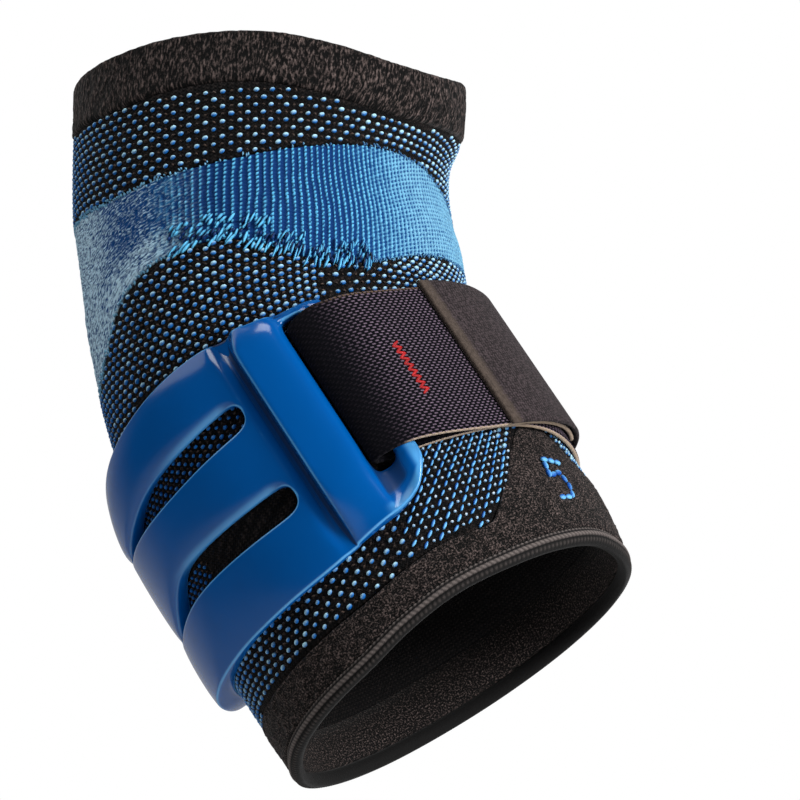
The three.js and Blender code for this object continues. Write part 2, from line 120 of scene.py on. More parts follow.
# Tables of the shape, in millimetres and degrees
class Table:
    """A short table that is read along a smooth curve through its rows. Lengths come out in metres."""

    def __init__(self, columns, rows, key_is_angle=True, flat_ends=False):
        self.columns = columns.split()
        numbers = np.array(rows, dtype=float)
        self.key = numbers[:, 0] if key_is_angle else numbers[:, 0] * MM
        self.values = numbers[:, 1:] * MM
        slopes = np.gradient(self.values, self.key, axis=0)
        slopes[1:-1] = (self.values[2:] - self.values[:-2]) / (self.key[2:] - self.key[:-2])[:, None]
        if flat_ends:
            slopes[[0, -1]] = 0.0
        self.slopes = slopes

    def read(self, column, at):
        """The column's value at each key in at, held at the ends of the table."""
        at = np.clip(np.asarray(at, dtype=float), self.key[0], self.key[-1])
        k = np.clip(np.searchsorted(self.key, at, side="right") - 1, 0, len(self.key) - 2)
        c = self.columns.index(column) - 1
        span = self.key[k + 1] - self.key[k]
        s = (at - self.key[k]) / span
        start, end = self.values[k, c], self.values[k + 1, c]
        rise, fall = self.slopes[k, c] * span, self.slopes[k + 1, c] * span
        return (
            (2 * s ** 3 - 3 * s ** 2 + 1) * start + (s ** 3 - 2 * s ** 2 + s) * rise
            + (3 * s ** 2 - 2 * s ** 3) * end + (s ** 3 - s ** 2) * fall
        )


# The sleeve's outside by the distance along the arm: half widths to the front, back and sides
SECTIONS = Table("station front back side", [
    (-80, 48.4, 51.0, 43.3),
    (-63, 47.6, 51.2, 43.5),
    (-55, 44.6, 51.2, 43.5),
    (-46, 44.2, 51.0, 43.5),
    (-38, 45.4, 50.5, 43.5),
    (-29, 47.8, 49.2, 43.6),
    (-16, 48.8, 47.2, 43.8),
    (-6, 47.8, 45.5, 44.0),
    (6, 47.4, 45.6, 44.0),
    (18, 48.6, 47.6, 44.0),
    (30, 50.2, 48.4, 44.0),
    (42, 50.4, 48.5, 44.0),
    (56, 50.4, 48.5, 44.0),
    (70, 50.4, 48.5, 44.0),
    (80, 49.4, 48.2, 43.6),
    (92, 47.0, 47.6, 42.8),
], key_is_angle=False)

# The top rim, the end of the upper cuff and the lower rim by the angle round the arm
RIMS = Table("angle top cuff_end bottom", [
    (-180, -76.4, -63.2, 91.8), (-154, -75.4, -61, 90), (-132, -75, -59.8, 89),
    (-112, -75.3, -61.2, 88.2), (-96, -75.2, -61.7, 86.3), (-80, -74.3, -60.8, 85.1),
    (-62, -72, -58.5, 85.5), (-44, -69.9, -56.8, 86.1), (-26, -70.4, -57.4, 87.2),
    (-12, -72.6, -58.9, 89.2), (0, -75.2, -60.4, 90.4), (14, -77.4, -62.4, 91), (32, -79, -64.2, 91),
    (54, -79.6, -65, 90.6), (80, -79.2, -65, 90.2), (106, -78.4, -64.6, 90.2), (134, -77.6, -64, 90.8),
    (158, -76.9, -63.5, 91.4), (180, -76.4, -63.2, 91.8),
], flat_ends=True)

# Where the lower cuff starts by the angle round the arm, with a patch that reaches up at the front
LOWER_CUFF = Table("angle start", [
    (-180, 77), (-160, 76.2), (-138, 76), (-116, 75.6), (-102, 75.3), (-90, 74.2), (-78, 73.4),
    (-68, 74.2), (-61, 74.2), (-56, 71), (-48, 64.6), (-40, 58.2), (-32, 53.2), (-26, 51.6),
    (-20, 54.6), (-12, 61.4), (-4, 67), (6, 72.4), (18, 75.4), (40, 75.6), (90, 74.6), (140, 76),
    (180, 77),
], flat_ends=True)

# The light panel's upper and lower boundary by the angle round the arm
PANEL = Table("angle upper lower", [
    (-180, -38, -3), (-162, -37.6, -3.6), (-148, -36.8, -6), (-136, -36.6, -11.2), (-124, -37.4, -15.4),
    (-112, -39.2, -18.5), (-100, -40.6, -20.6), (-90, -41.9, -20.6), (-78, -43.6, -18),
    (-66, -45.2, -14.6), (-54, -46.6, -15.2), (-40, -47.4, -19.4), (-24, -46.6, -22.6),
    (-10, -43.6, -23.8), (0, -41, -24), (12, -39.2, -23.6), (28, -38.8, -22), (46, -40.2, -19),
    (62, -41.8, -16.4), (80, -42.4, -17.2), (98, -41.6, -19.6), (114, -40, -18.6), (130, -38.2, -13.6),
    (146, -37.2, -7.4), (162, -37.6, -4), (180, -38, -3),
], flat_ends=True)

# The width of one rib of the light panel by the angle from the front
RIBS = Table("from_front spacing", [
    (0, 1.3),
    (40, 1.3),
    (58, 1.4),
    (72, 1.65),
    (84, 1.9),
    (100, 1.9),
    (112, 1.6),
    (124, 1.3),
    (180, 1.3),
])

# The plate by its angle round the forearm: its top and bottom edge along the arm, and the lift off
# the sleeve of its underside, of its outside, and of its outside at the foot of the bar, on the
# slope below it and along the bottom edge
PLATE = Table("angle top bottom under over crease slope foot", [
    (-206.0, 24.0, 58.0, 0.6, 5.6, 5.7, 5.7, 5.3),
    (-203.0, 19.5, 62.0, 0.5, 6.2, 6.4, 6.4, 5.9),
    (-197.0, 16.5, 64.4, 0.4, 6.5, 6.8, 6.8, 6.3),
    (-188.0, 14.6, 65.0, 0.35, 6.5, 6.9, 6.9, 6.4),
    (-181.0, 13.2, 65.0, 0.35, 6.4, 6.8, 6.8, 6.3),
    (-175.0, 11.2, 65.0, 0.4, 6.1, 6.5, 6.5, 6.0),
    (-172.0, 10.0, 65.0, 0.5, 5.9, 6.3, 6.3, 5.8),
    (-165.0, 7.3, 65.0, 0.5, 5.4, 5.7, 5.7, 5.2),
    (-158.0, 5.2, 65.0, 0.5, 4.8, 5.0, 5.0, 4.6),
    (-151.0, 3.9, 65.0, 0.5, 4.3, 4.4, 4.4, 4.0),
    (-144.0, 2.9, 64.9, 0.5, 3.8, 3.9, 3.8, 3.5),
    (-137.0, 2.1, 64.9, 0.5, 3.4, 3.5, 3.4, 3.1),
    (-130.0, 1.5, 65.0, 0.5, 3.1, 3.1, 3.0, 2.7),
    (-122.0, 1.0, 65.1, 0.5, 3.1, 3.1, 3.0, 2.7),
    (-114.0, 0.8, 65.2, 0.5, 3.1, 3.1, 3.0, 2.7),
    (-107.0, 1.0, 65.2, 0.5, 3.1, 3.1, 3.0, 2.7),
    (-104.2, 1.2, 65.1, 0.5, 3.2, 3.2, 3.1, 2.8),
    (-102.0, 1.4, 65.0, 0.5, 3.3, 3.3, 3.1, 2.8),
    (-100.4, 1.7, 64.85, 0.5, 2.9, 2.9, 3.0, 2.75),
    (-98.9, 1.9, 64.7, 0.5, 1.5, 1.7, 2.5, 2.5),
    (-97.6, 2.1, 64.6, 0.5, 1.0, 1.3, 2.2, 2.4),
    (-95.7, 2.4, 64.4, 0.5, 1.0, 1.3, 2.2, 2.4),
    (-95.3, 2.6, 64.3, 0.5, 6.2, 5.6, 3.0, 2.7),
    (-94.7, 2.8, 64.1, 0.5, 7.0, 6.6, 3.7, 3.0),
    (-92.6, 3.1, 63.9, 0.5, 6.95, 6.9, 4.1, 3.3),
    (-89.0, 3.6, 63.6, 0.5, 7.0, 6.9, 4.5, 3.9),
    (-85.6, 4.1, 63.2, 0.5, 6.9, 6.6, 4.5, 4.2),
    (-83.0, 4.4, 63.0, 0.5, 6.3, 5.8, 4.5, 4.25),
    (-81.6, 4.5, 62.8, 0.6, 3.6, 2.5, 3.0, 4.3),
    (-78.4, 4.9, 62.1, 0.9, 4.6, 2.0, 2.4, 4.5),
    (-74.6, 5.4, 60.4, 2.0, 5.2, 4.4, 3.8, 4.7),
    (-73.0, 5.7, 59.0, 2.4, 5.7, 5.6, 5.0, 4.8),
    (-71.0, 6.1, 56.7, 2.5, 5.6, 5.5, 5.2, 4.7),
    (-69.6, 6.5, 54.4, 2.5, 5.2, 5.1, 5.0, 4.7),
    (-69.0, 6.8, 53.0, 2.6, 4.7, 4.6, 4.6, 4.4),
])
PLATE_ROWS = 11
SLOT_ROWS = (3, 6)
POCKET_ROWS = range(1, 8)

# The strap from its free end over the rail, down through the pocket and round the arm: its angle, the
# lift of its middle off the sleeve, and where its upper and lower edge lie along the forearm
STRAP_ROUTE = [
    (5, 3, 15.6, 55.8), (-6, 3, 15.4, 55.8), (-20, 3, 14.5, 55.7), (-34, 3.05, 13.3, 55.1),
    (-46, 3.6, 12.3, 54.3), (-56, 4.9, 11, 53), (-64, 6.2, 9.6, 51.6), (-69, 6.65, 9, 50.6),
    (-73.4, 6.6, 8.6, 50), (-77.2, 5.8, 8.9, 49.7), (-79.8, 4.2, 9.6, 49.4), (-79.8, 2.5, 10.2, 49.6),
    (-77.4, 1.4, 10.4, 49.8), (-73, 1.2, 10.4, 50.2), (-64, 1.2, 10.8, 51.2), (-52, 1.2, 11.8, 52.6),
    (-38, 1.2, 13, 54), (-22, 1.2, 15, 56.2), (0, 1.2, 18.8, 60.2), (25, 1.2, 21.8, 63.6),
    (50, 1.2, 22.8, 64.8), (75, 1.2, 22.4, 64.4), (100, 1.2, 21.4, 63.4), (125, 1.2, 20.2, 62.2),
    (150, 1.2, 19, 61), (172, 1.2, 18, 60),
]
# The hook tab over the strap's free end, told as the strap is
TAB_ROUTE = [
    (-41, 4.9, 11.8, 55.4), (-34, 4.7, 12.6, 55.8), (-20, 4.6, 14, 56.4), (-6, 4.6, 15.1, 56.2),
    (5, 4.6, 15.5, 56), (12, 4.1, 15.7, 55.9), (19, 3, 15.9, 55.8), (26, 2.8, 16, 55.8),
    (34, 2.8, 16.1, 55.8),
]

# The distance between two dots of a row by the angle from the front
DOT_COLUMNS = Table("from_front spacing", [
    (0, 2.5), (22, 2.5), (42, 2.8), (60, 3.4), (80, 3.9), (108, 3.9), (126, 3.3), (146, 2.9), (180, 2.9),
])
# The distance between two rows of dots by the distance along the arm
DOT_ROWS = Table("station spacing", [
    (-84, 1.9), (-40, 1.9), (-30, 1.5), (-14, 1.2), (12, 1.2), (24, 1.35), (40, 1.35), (54, 1.4),
    (64, 1.8), (75, 1.9), (96, 1.9),
], key_is_angle=False)
# How many rows of dots lie above each station
ROW_STATIONS = np.linspace(-84, 96, 1801) * MM
ROW_NUMBERS = running_total(np.diff(ROW_STATIONS) / DOT_ROWS.read("spacing", ROW_STATIONS[1:]))

# The numeral's line along the forearm and round it
NUMERAL = [
    (65.5, -25.0), (63.75, -32.25), (68.5, -34.0), (68.0, -28.9), (71.75, -27.8), (75.0, -29.25),
    (74.5, -35.25),
]

# What the plate's slots show: the middle and half width along the forearm, and the angles between
SLOT_VIEWS = ((21, 6, -184, -99), (46, 7, -184, -142))
# What is out of sight, in degrees and in millimetres along the forearm: behind the cover angle all that
# is under the plate, save for a margin at its edges, and before it what is under the strap or in the pocket
COVER_ANGLE = -84
PLATE_MARGIN = 3
STRAP_COVER = (25, 48)
POCKET_ANGLE = -70
POCKET_COVER = (8, 52)


class ElbowSleeveSettings(bpy.types.PropertyGroup):
    """The knitted sleeve."""
    bend: turn_angle("Bend", "How far the elbow is bent from a straight arm", 32)
    bend_radius: length("Bend radius", "Radius of the arm's centreline round the elbow", 60.0)
    wall: length("Wall", "Thickness of the knit", 2.0)
    seam: length("Seam", "Gap between two zones of the knit", 0.12)
    relaxed_girth: length("Relaxed girth", "Girth of the sleeve before it is stretched on an arm", 258.0)
    cuff_proud: length("Cuff pile", "How far the plush stands out from the knit", 0.7)
    hem_height: length("Hem height", "Height of the rolled hem", 3.8)
    hem_thickness: length("Hem thickness", "Thickness of the rolled hem", 3.6)
    hem_tuck: length("Hem tuck", "How far the roll is tucked under the cuff", 0.5)
    hem_lift: length("Hem lift", "Lift of the roll's middle from the knit's outside", -0.65)
    rib_stitch: length("Rib stitch", "Height of one stitch of the light panel", 1.05)


class ElbowBraceSettings(bpy.types.PropertyGroup):
    """The plate, the strap and the tab."""
    front: length("Front", "Forearm's half width to the front, under the strap", 50.5)
    back: length("Back", "Forearm's half width to the back, under the plate", 48.5)
    side: length("Side", "Forearm's half width to the sides", 44.0)
    plate_edge: length("Plate edge", "Width of the rounded edge of the plate", 0.9)
    strap_width: length("Strap width", "Width of the elastic strap", 42.0)
    strap_thickness: length("Strap thickness", "Thickness of the elastic strap", 1.4)
    tab_width: length("Tab width", "Width of the hook tab", 43.0)
    tab_thickness: length("Tab thickness", "Thickness of the hook tab", 1.2)


class ElbowColourSettings(bpy.types.PropertyGroup):
    """The colours."""
    plate: colour("Plate", "Moulded plate", 0, 88, 167)
    # The plate's edge colour is partly a worn look and mostly a painted highlight on its edges, slot lips
    # and rim
    plate_edge: colour("Plate edge", "Rubbed edges of the plate", 96, 182, 242)
    # The dark in the plate's grooves and on the dished floor below the strap is painted shade
    plate_painted_shade: colour("Plate hollow", "Hollows of the plate", 0, 26, 62)
    knit: colour("Knit", "Ground of the dotted knit", 3, 3, 4)
    # Knit fibre colours the brown fibres and the painted highlight on the knit's raised lumps
    knit_fibre: colour("Knit fibre", "Brown fibres in the dotted knit", 54, 46, 44)
    dot: colour("Dot", "Shaded side of the knitted dots", 0, 100, 182)
    dot_light: colour("Dot light", "Lit side of the knitted dots", 196, 243, 255)
    streak: colour("Streak", "Lit side of the long dashes", 118, 198, 250)
    streak_shade: colour("Streak shade", "Shaded side of the long dashes", 10, 84, 176)
    fleck: colour("Fleck", "Brown flecks between the dots", 98, 80, 70)
    point: colour("Point", "Shaded side of the pale points", 120, 170, 210)
    point_light: colour("Point light", "Lit side of the pale points", 232, 244, 250)
    rib: colour("Rib", "Ribs of the light panel", 106, 208, 255)
    rib_gap: colour("Rib gap", "Gaps between the ribs", 0, 52, 112)
    wash: colour("Wash", "Light panel towards the front", 124, 186, 218)
    wash_gap: colour("Wash gap", "Gaps of the light panel towards the front", 0, 68, 130)
    haze: colour("Haze", "Light panel towards the back", 196, 230, 248)
    haze_gap: colour("Haze gap", "Gaps of the light panel towards the back", 0, 66, 130)
    plush: colour("Plush", "Plush cuffs", 4, 4, 4)
    plush_tip: colour("Plush tip", "Tips of the pile", 114, 99, 95)
    hem: colour("Hem", "Grooves of the hem", 12, 11, 11)
    hem_tip: colour("Hem tip", "Roll of the hem", 138, 127, 123)
    strap: colour("Strap", "Ground of the strap", 9, 9, 14)
    strap_dash: colour("Strap dash", "Light threads of the strap", 124, 107, 124)
    strap_edge: colour("Strap edge", "Cut edge of the strap", 184, 164, 144)
    selvedge: colour("Selvedge", "Woven edge of the strap", 112, 92, 76)
    tab: colour("Tab", "Hook tab", 54, 46, 48)
    tab_strip: colour("Tab strip", "Pressed strip along the hook tab's edge", 84, 73, 66)
    tack: colour("Tack", "Bar tack on the strap", 206, 34, 38)
    tack_shade: colour("Tack shade", "Shaded side of the bar tack", 130, 14, 18)
    floor: colour("Floor", "Studio floor", 236, 236, 236)


class ElbowStageSettings(bpy.types.PropertyGroup):
    """The camera and the light."""
    azimuth: turn_angle("Azimuth", "Camera's turn round the object", 9)
    elevation: turn_angle("Elevation", "Camera's height angle", -17)
    distance: length("Distance", "From the camera to its target", 900.0)
    aim_right: length("Aim right", "Target's offset to the right of the elbow", 32.0)
    aim_up: length("Aim up", "Target's offset above the elbow", -6.0)
    lens: FloatProperty(name="Lens", description="Focal length", default=162.0, unit="CAMERA")
    floor_height: length("Floor height", "Height of the floor", -440.0)


# The arm's surface
def sleeve_point(station, angle, lift):
    """Points at stations along the arm and angles round it, lifted off the sleeve's outside."""
    sleeve = bpy.context.scene.elbow_sleeve
    half = sleeve.bend_radius * sleeve.bend / 2
    tangent = sleeve.bend_radius * math.tan(sleeve.bend / 2)
    on_bend = np.clip(station, -half, half)
    turn = (on_bend + half) / sleeve.bend_radius
    beyond = station - on_bend
    ahead = sleeve.bend_radius * (1 - np.cos(turn)) + beyond * np.sin(turn)
    up = tangent - sleeve.bend_radius * np.sin(turn) - beyond * np.cos(turn)
    sizes = [SECTIONS.read(name, station) for name in ("front", "back", "side")]
    return round_section(ahead, up, turn, sizes, angle, lift)


def forearm_point(along, angle, lift):
    """Points on the straight forearm, by their distance from the elbow's middle along its axis."""
    brace = bpy.context.scene.elbow_brace
    turn = bpy.context.scene.elbow_sleeve.bend
    sizes = (brace.front, brace.back, brace.side)
    return round_section(along * math.sin(turn), -along * math.cos(turn), turn, sizes, angle, lift)


def round_section(ahead, up, turn, sizes, angle, lift):
    """Points at angles round sections of the arm: 0 is the front and -90 the outer side."""
    front, back, side = sizes
    radians = np.radians(angle)
    reach = np.cos(radians) * (np.where(np.cos(radians) > 0, front, back) + lift)
    across = np.sin(radians) * (side + lift)
    x = ahead + reach * np.cos(turn)
    z = up + reach * np.sin(turn)
    return np.stack(np.broadcast_arrays(x, across, z), axis=-1)


def skin_lean(angle):
    """How far a point leans to the front of the centreline, as a share of the bend's radius."""
    sleeve = bpy.context.scene.elbow_sleeve
    brace = bpy.context.scene.elbow_brace
    cosine = np.cos(np.radians(angle))
    return cosine * np.where(cosine > 0, brace.front, brace.back) / sleeve.bend_radius


def skin_distance(station, angle):
    """The distance along the sleeve's surface, equal to the station below the bend."""
    sleeve = bpy.context.scene.elbow_sleeve
    half = sleeve.bend_radius * sleeve.bend / 2
    return station + skin_lean(angle) * (half - np.clip(station, -half, half))


def metres_per_degree():
    """The forearm's arc under one degree, on its outer side."""
    brace = bpy.context.scene.elbow_brace
    return math.radians((brace.back + brace.side) / 2)


def signed_angle(angle):
    """Angles brought to between -180 and 180."""
    return (np.asarray(angle) + 180) % 360 - 180


def columns_round(table, samples):
    """Angles of columns round the arm by a table of spacings, a number of them in each space, with their
    count of spaces so far and in all."""
    angle = np.linspace(-180, 180, 1441)
    middle = (angle[1:] + angle[:-1]) / 2
    width = table.read("spacing", np.abs(middle))
    spaces = running_total(metres_per_degree() / width * np.diff(angle))
    count = 2 * round(spaces[-1] / 2)
    spaces *= count / spaces[-1]
    even = np.arange(count * samples) / samples
    return np.interp(even, spaces, angle), even, count


# Where the zones of the sleeve meet, as stations by the angle round the arm
def boundary(table, column):
    """A function that reads one boundary from its table."""
    def stations(angle):
        return table.read(column, signed_angle(angle))
    return stations


top_rim = boundary(RIMS, "top")
upper_cuff_end = boundary(RIMS, "cuff_end")
panel_upper = boundary(PANEL, "upper")
panel_lower = boundary(PANEL, "lower")
lower_cuff_start = boundary(LOWER_CUFF, "start")
lower_rim = boundary(RIMS, "bottom")


def hem_start(angle):
    """Where the lower cuff ends and the hem starts."""
    return lower_rim(angle) - bpy.context.scene.elbow_sleeve.hem_height


# Meshes
def deselect():
    """Leaves nothing selected."""
    for node in bpy.context.selected_objects:
        node.select_set(False)


def new_piece(name, points, faces, finish, stitches=None, layers=None):
    """A mesh piece from points in metres and faces that point outwards."""
    mesh = bpy.data.meshes.new(name)
    faces = np.asarray(faces)
    if signed_volume(points, faces) < 0:
        faces = faces[:, ::-1]
        stitches = None if stitches is None else stitches[:, ::-1]
    mesh.from_pydata(points.tolist(), [], faces.tolist())
    if stitches is not None:
        layer = mesh.uv_layers.new(name=STITCH_MAP)
        layer.data.foreach_set("uv", stitches.astype(np.float32).ravel())
    for layer_name, values in (layers or {}).items():
        attribute = mesh.attributes.new(layer_name, "FLOAT", "POINT")
        attribute.data.foreach_set("value", values.astype(np.float32).ravel())
    mesh.shade_smooth()
    mesh.materials.append(finish)
    piece = bpy.data.objects.new(name, mesh)
    bpy.context.collection.objects.link(piece)
    return piece


def signed_volume(points, faces):
    """Six times the volume inside quads, below zero where they point inwards."""
    a, b, c, d = (points[faces[:, k]] for k in range(4))
    return np.sum(np.cross(b - a, c - a) * a) + np.sum(np.cross(c - a, d - a) * a)


def grid_quads(rows, columns):
    """Quads of a grid of points, row by row, that closes round its columns."""
    j, i = np.meshgrid(np.arange(rows - 1), np.arange(columns), indexing="ij")
    after = (i + 1) % columns
    here, below = j * columns, (j + 1) * columns
    quads = np.stack([here + i, here + after, below + after, below + i], axis=-1)
    return quads.reshape(-1, 4)


def ring_piece(name, section, finish, layers=None):
    """A piece that closes round the arm. section holds stations, angles and lifts, a closed section in
    its rows and one column for each angle."""
    station, angle, lift = section
    rows, columns = station.shape
    points = sleeve_point(station, angle, lift).reshape(-1, 3)
    wrap = np.vstack([np.arange(rows * columns).reshape(rows, columns), np.arange(columns)])
    quads = wrap.ravel()[grid_quads(rows + 1, columns)]
    turn = np.append(angle[0], angle[0, 0] + 360)
    round_way = np.stack([turn[:-1], turn[1:], turn[1:], turn[:-1]], axis=-1)[None]
    u = np.broadcast_to(round_way, (rows, columns, 4)) * metres_per_degree() / MM
    tall = skin_distance(station, angle)
    tall = np.vstack([tall, tall[:1]]) / MM
    beside = np.roll(tall, -1, axis=1)
    v = np.stack([tall[:-1], beside[:-1], beside[1:], tall[1:]], axis=-1)
    stitches = np.stack([u, v], axis=-1).reshape(-1, 4, 2)
    return new_piece(name, points, quads, finish, stitches, layers)


def read_all(items, name, width, kind=float):
    """One value of every item of a mesh, as rows."""
    values = np.empty(len(items) * width, dtype=kind)
    items.foreach_get(name, values)
    return values.reshape(-1, width)


def settle(piece, node):
    """Fixes a piece to the body, in place of its plain solid where it has one."""
    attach(piece, "root")
    if node:
        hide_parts(node)


def declare_zone(upper, lower):
    """Works out the heights of one zone of the sleeve round the arm, and keeps nothing of them."""
    heights = lower(even_angles(180)) - upper(even_angles(180))


def edge_fall(distance, radius):
    """How far a rounded edge falls, by the distance from the rim."""
    inside = np.clip(1 - distance / radius, 0, 1)
    return radius * (1 - np.sqrt(1 - inside ** 2))


def even_angles(columns):
    """Angles of evenly spaced columns round the arm."""
    return np.linspace(-180, 180, columns, endpoint=False)


def knit_section(upper, lower, angle, rows, rim=0.35 * MM, inner_rows=3):
    """The section of one zone of the sleeve: outer rows from its upper to its lower boundary with a
    rounded rim, and the inner wall. Gives stations, angles, lifts and the number of outer rows."""
    sleeve = bpy.context.scene.elbow_sleeve
    start = upper(angle) + sleeve.seam / 2
    end = lower(angle) - sleeve.seam / 2
    share = np.concatenate([[0.0, 0.004], np.linspace(0.012, 0.988, rows - 3), [0.996, 1.0]])[:, None]
    outer = start + (end - start) * share
    inner = start + (end - start) * np.linspace(1.0, 0.0, inner_rows)[:, None]
    fall = edge_fall(np.minimum(outer - start, end - outer), rim)
    lift = np.vstack([-fall, np.full_like(inner, -sleeve.wall)])
    return np.vstack([outer, inner]), np.broadcast_to(angle, lift.shape), lift, len(outer)


def soft_noise(u, v, around, seed):
    """Smooth noise between 0 and 1 on unit cells, that repeats after a number of cells in u."""
    u, v = np.broadcast_arrays(u, v)
    low = int(np.floor(v.min())) - 1
    cells = np.random.default_rng(seed).random((int(np.ceil(v.max())) - low + 3, around))
    i, j = np.floor(u).astype(int), np.floor(v).astype(int)
    s, t = u - i, v - j
    s, t = s * s * (3 - 2 * s), t * t * (3 - 2 * t)
    j = j - low
    near, far = i % around, (i + 1) % around
    top = cells[j, near] * (1 - s) + cells[j, far] * s
    bottom = cells[j + 1, near] * (1 - s) + cells[j + 1, far] * s
    return top * (1 - t) + bottom * t


# Finishes
class Value:
    """A number or colour that varies over a surface. Arithmetic on it adds Math nodes."""

    def __init__(self, finish, socket):
        self.finish = finish
        self.socket = socket

    def math(self, operation, *others):
        return self.finish.node("ShaderNodeMath", {"operation": operation}, [self, *others])

    def __add__(self, other):
        return self.math("ADD", other)

    def __sub__(self, other):
        return self.math("SUBTRACT", other)

    def __rsub__(self, other):
        return self.finish.node("ShaderNodeMath", {"operation": "SUBTRACT"}, [other, self])

    def __mul__(self, other):
        return self.math("MULTIPLY", other)

    def __truediv__(self, other):
        return self.math("DIVIDE", other)

    def __gt__(self, other):
        return self.math("GREATER_THAN", other)

    __radd__ = __add__

    def fraction(self):
        return self.math("FRACT")

    def whole(self):
        return self.math("FLOOR")

    def size(self):
        return self.math("ABSOLUTE")

    def wave(self):
        """A soft wave between 0 and 1 that repeats with every whole number."""
        return (self * math.tau).math("COSINE") * 0.5 + 0.5

    def rise(self, low, high):
        """0 below low, 1 above high and smooth between them."""
        return self.finish.node(
            "ShaderNodeMapRange", {"interpolation_type": "SMOOTHSTEP"},
            {"Value": self, "From Min": low, "From Max": high},
        )

    def fall(self, low, high):
        """1 below low, 0 above high and smooth between them."""
        return 1 - self.rise(low, high)


class NodeTree:
    """Adds nodes to a tree."""

    def __init__(self, tree):
        self.tree = tree

    def feed(self, socket, value):
        if isinstance(value, Value):
            self.tree.links.new(value.socket, socket)
        else:
            socket.default_value = value

    def node(self, kind, settings, inputs, output=0):
        """Adds a node: its settings first, then the values or links of its sockets."""
        made = self.tree.nodes.new(kind)
        for setting, value in settings.items():
            setattr(made, setting, value)
        pairs = inputs.items() if isinstance(inputs, dict) else enumerate(inputs)
        for socket, value in pairs:
            self.feed(made.inputs[socket], value)
        return Value(self, made.outputs[output])


class Finish(NodeTree):
    """A material on the principled shader, built node by node."""

    def __init__(self, name, numbers):
        self.material = bpy.data.materials.new(name)
        self.material.use_nodes = True
        super().__init__(self.material.node_tree)
        self.shader = self.tree.nodes["Principled BSDF"]
        for socket, number in numbers.items():
            self.shader.inputs[socket].default_value = number

    def surface(self):
        return self.node("ShaderNodeTexCoord", {}, {}, "Object")

    def stitches(self):
        """The distance round the arm or along a strap, and the distance across it, in millimetres."""
        place = self.node("ShaderNodeUVMap", {"uv_map": STITCH_MAP}, {})
        return [self.node("ShaderNodeSeparateXYZ", {}, [place], axis) for axis in ("X", "Y")]

    def layer(self, name):
        return self.node("ShaderNodeAttribute", {"attribute_name": name}, {}, "Fac")

    def noise(self, scale, detail=2.0, place=None):
        """Noise with features of about 1 / scale metres."""
        inputs = {"Vector": place or self.surface(), "Scale": scale, "Detail": detail, "Roughness": 0.6}
        return self.node("ShaderNodeTexNoise", {}, inputs, "Fac")

    def blend(self, share, low, high):
        """A colour between low and high."""
        return self.node("ShaderNodeMix", {"data_type": "RGBA"}, {0: share, 6: low, 7: high}, 2)

    def show(self, socket, value):
        self.feed(self.shader.inputs[socket], value)

    def emboss(self, height, depth, strength=1.0):
        """Feeds a height between 0 and 1 to the shader's normal."""
        bump = self.node("ShaderNodeBump", {}, {"Height": height, "Distance": depth, "Strength": strength})
        self.show("Normal", bump)


def cloth(name, roughness, specular, sheen, sheen_roughness):
    """A finish for cloth and yarn, with a soft sheen."""
    return Finish(name, {
        "Roughness": roughness, "Specular IOR Level": specular,
        "Sheen Weight": sheen, "Sheen Roughness": sheen_roughness,
    })


def knit_ground():
    """Fine black stitches with brown fibres between them, and a painted highlight on the knit's raised
    lumps.
    """
    shades = bpy.context.scene.elbow_colours
    wale_width, course_height = 0.96, 0.95
    finish = cloth("dotted_knit", 0.8, 0.12, 0.02, 0.5)
    across, along = finish.stitches()
    side = (((across / wale_width).fraction() - 0.5) * 2).size()
    stitch = (along / course_height + side * 0.55).wave()
    body = stitch * (1 - side * side * 0.7)
    fuzz = finish.noise(1100.0, 3.0)
    # Brown fibres at random, and a painted highlight where the knit's lumps stand up
    fibre_and_highlight = (finish.layer(RELIEF) * 0.55 + body * 0.25 + fuzz * 0.55).rise(0.5, 1.15)
    finish.show("Base Color", finish.blend(fibre_and_highlight, shades.knit, shades.knit_fibre))
    finish.show("Roughness", 0.85 - fibre_and_highlight * 0.15)
    finish.emboss(body * 0.7 + fuzz * 0.3, 0.3 * MM)
    return finish.material


def rib_knit():
    """Light ribs of small beads over darker gaps, with a fine net to the front and fine rows to the back."""
    shades = bpy.context.scene.elbow_colours
    strand_height, row_height, curl_width, curl_height = 0.52, 0.85, 1.3, 0.55
    finish = cloth("stretch_blue", 0.7, 0.15, 0.04, 0.4)
    height = finish.layer(RELIEF)
    drape = finish.layer(DRAPE)
    fuzz = finish.noise(1300.0, 3.0)
    across, along = finish.stitches()
    strand = (along / strand_height + across * 0.3).wave()
    row = (drape / row_height + fuzz * 0.9).wave()
    lit = (height + (fuzz - 0.5) * 0.4).rise(0.15, 0.95)
    place = finish.node("ShaderNodeCombineXYZ", {}, [across / curl_width, drape / curl_height])
    curl = finish.noise(1.0, 2.0, place).rise(0.35, 0.65)
    rows = height * 0.35 + row * 0.25 + curl * 0.45 + fuzz * 0.3
    rowed = (rows - finish.layer(DEEP) * 0.29).rise(0.3, 0.95)
    ribbed = finish.blend(lit, shades.rib_gap, shades.rib)
    washed = finish.blend(lit, shades.wash_gap, shades.wash)
    hazy = finish.blend(rowed, shades.haze_gap, shades.haze)
    front = finish.blend(finish.layer(WASH), ribbed, washed)
    finish.show("Base Color", finish.blend(finish.layer(HAZE), front, hazy))
    finish.show("Roughness", 0.75 - lit * 0.15)
    finish.emboss(strand * 0.3 + row * 0.2 + fuzz * 0.5, 0.25 * MM)
    return finish.material


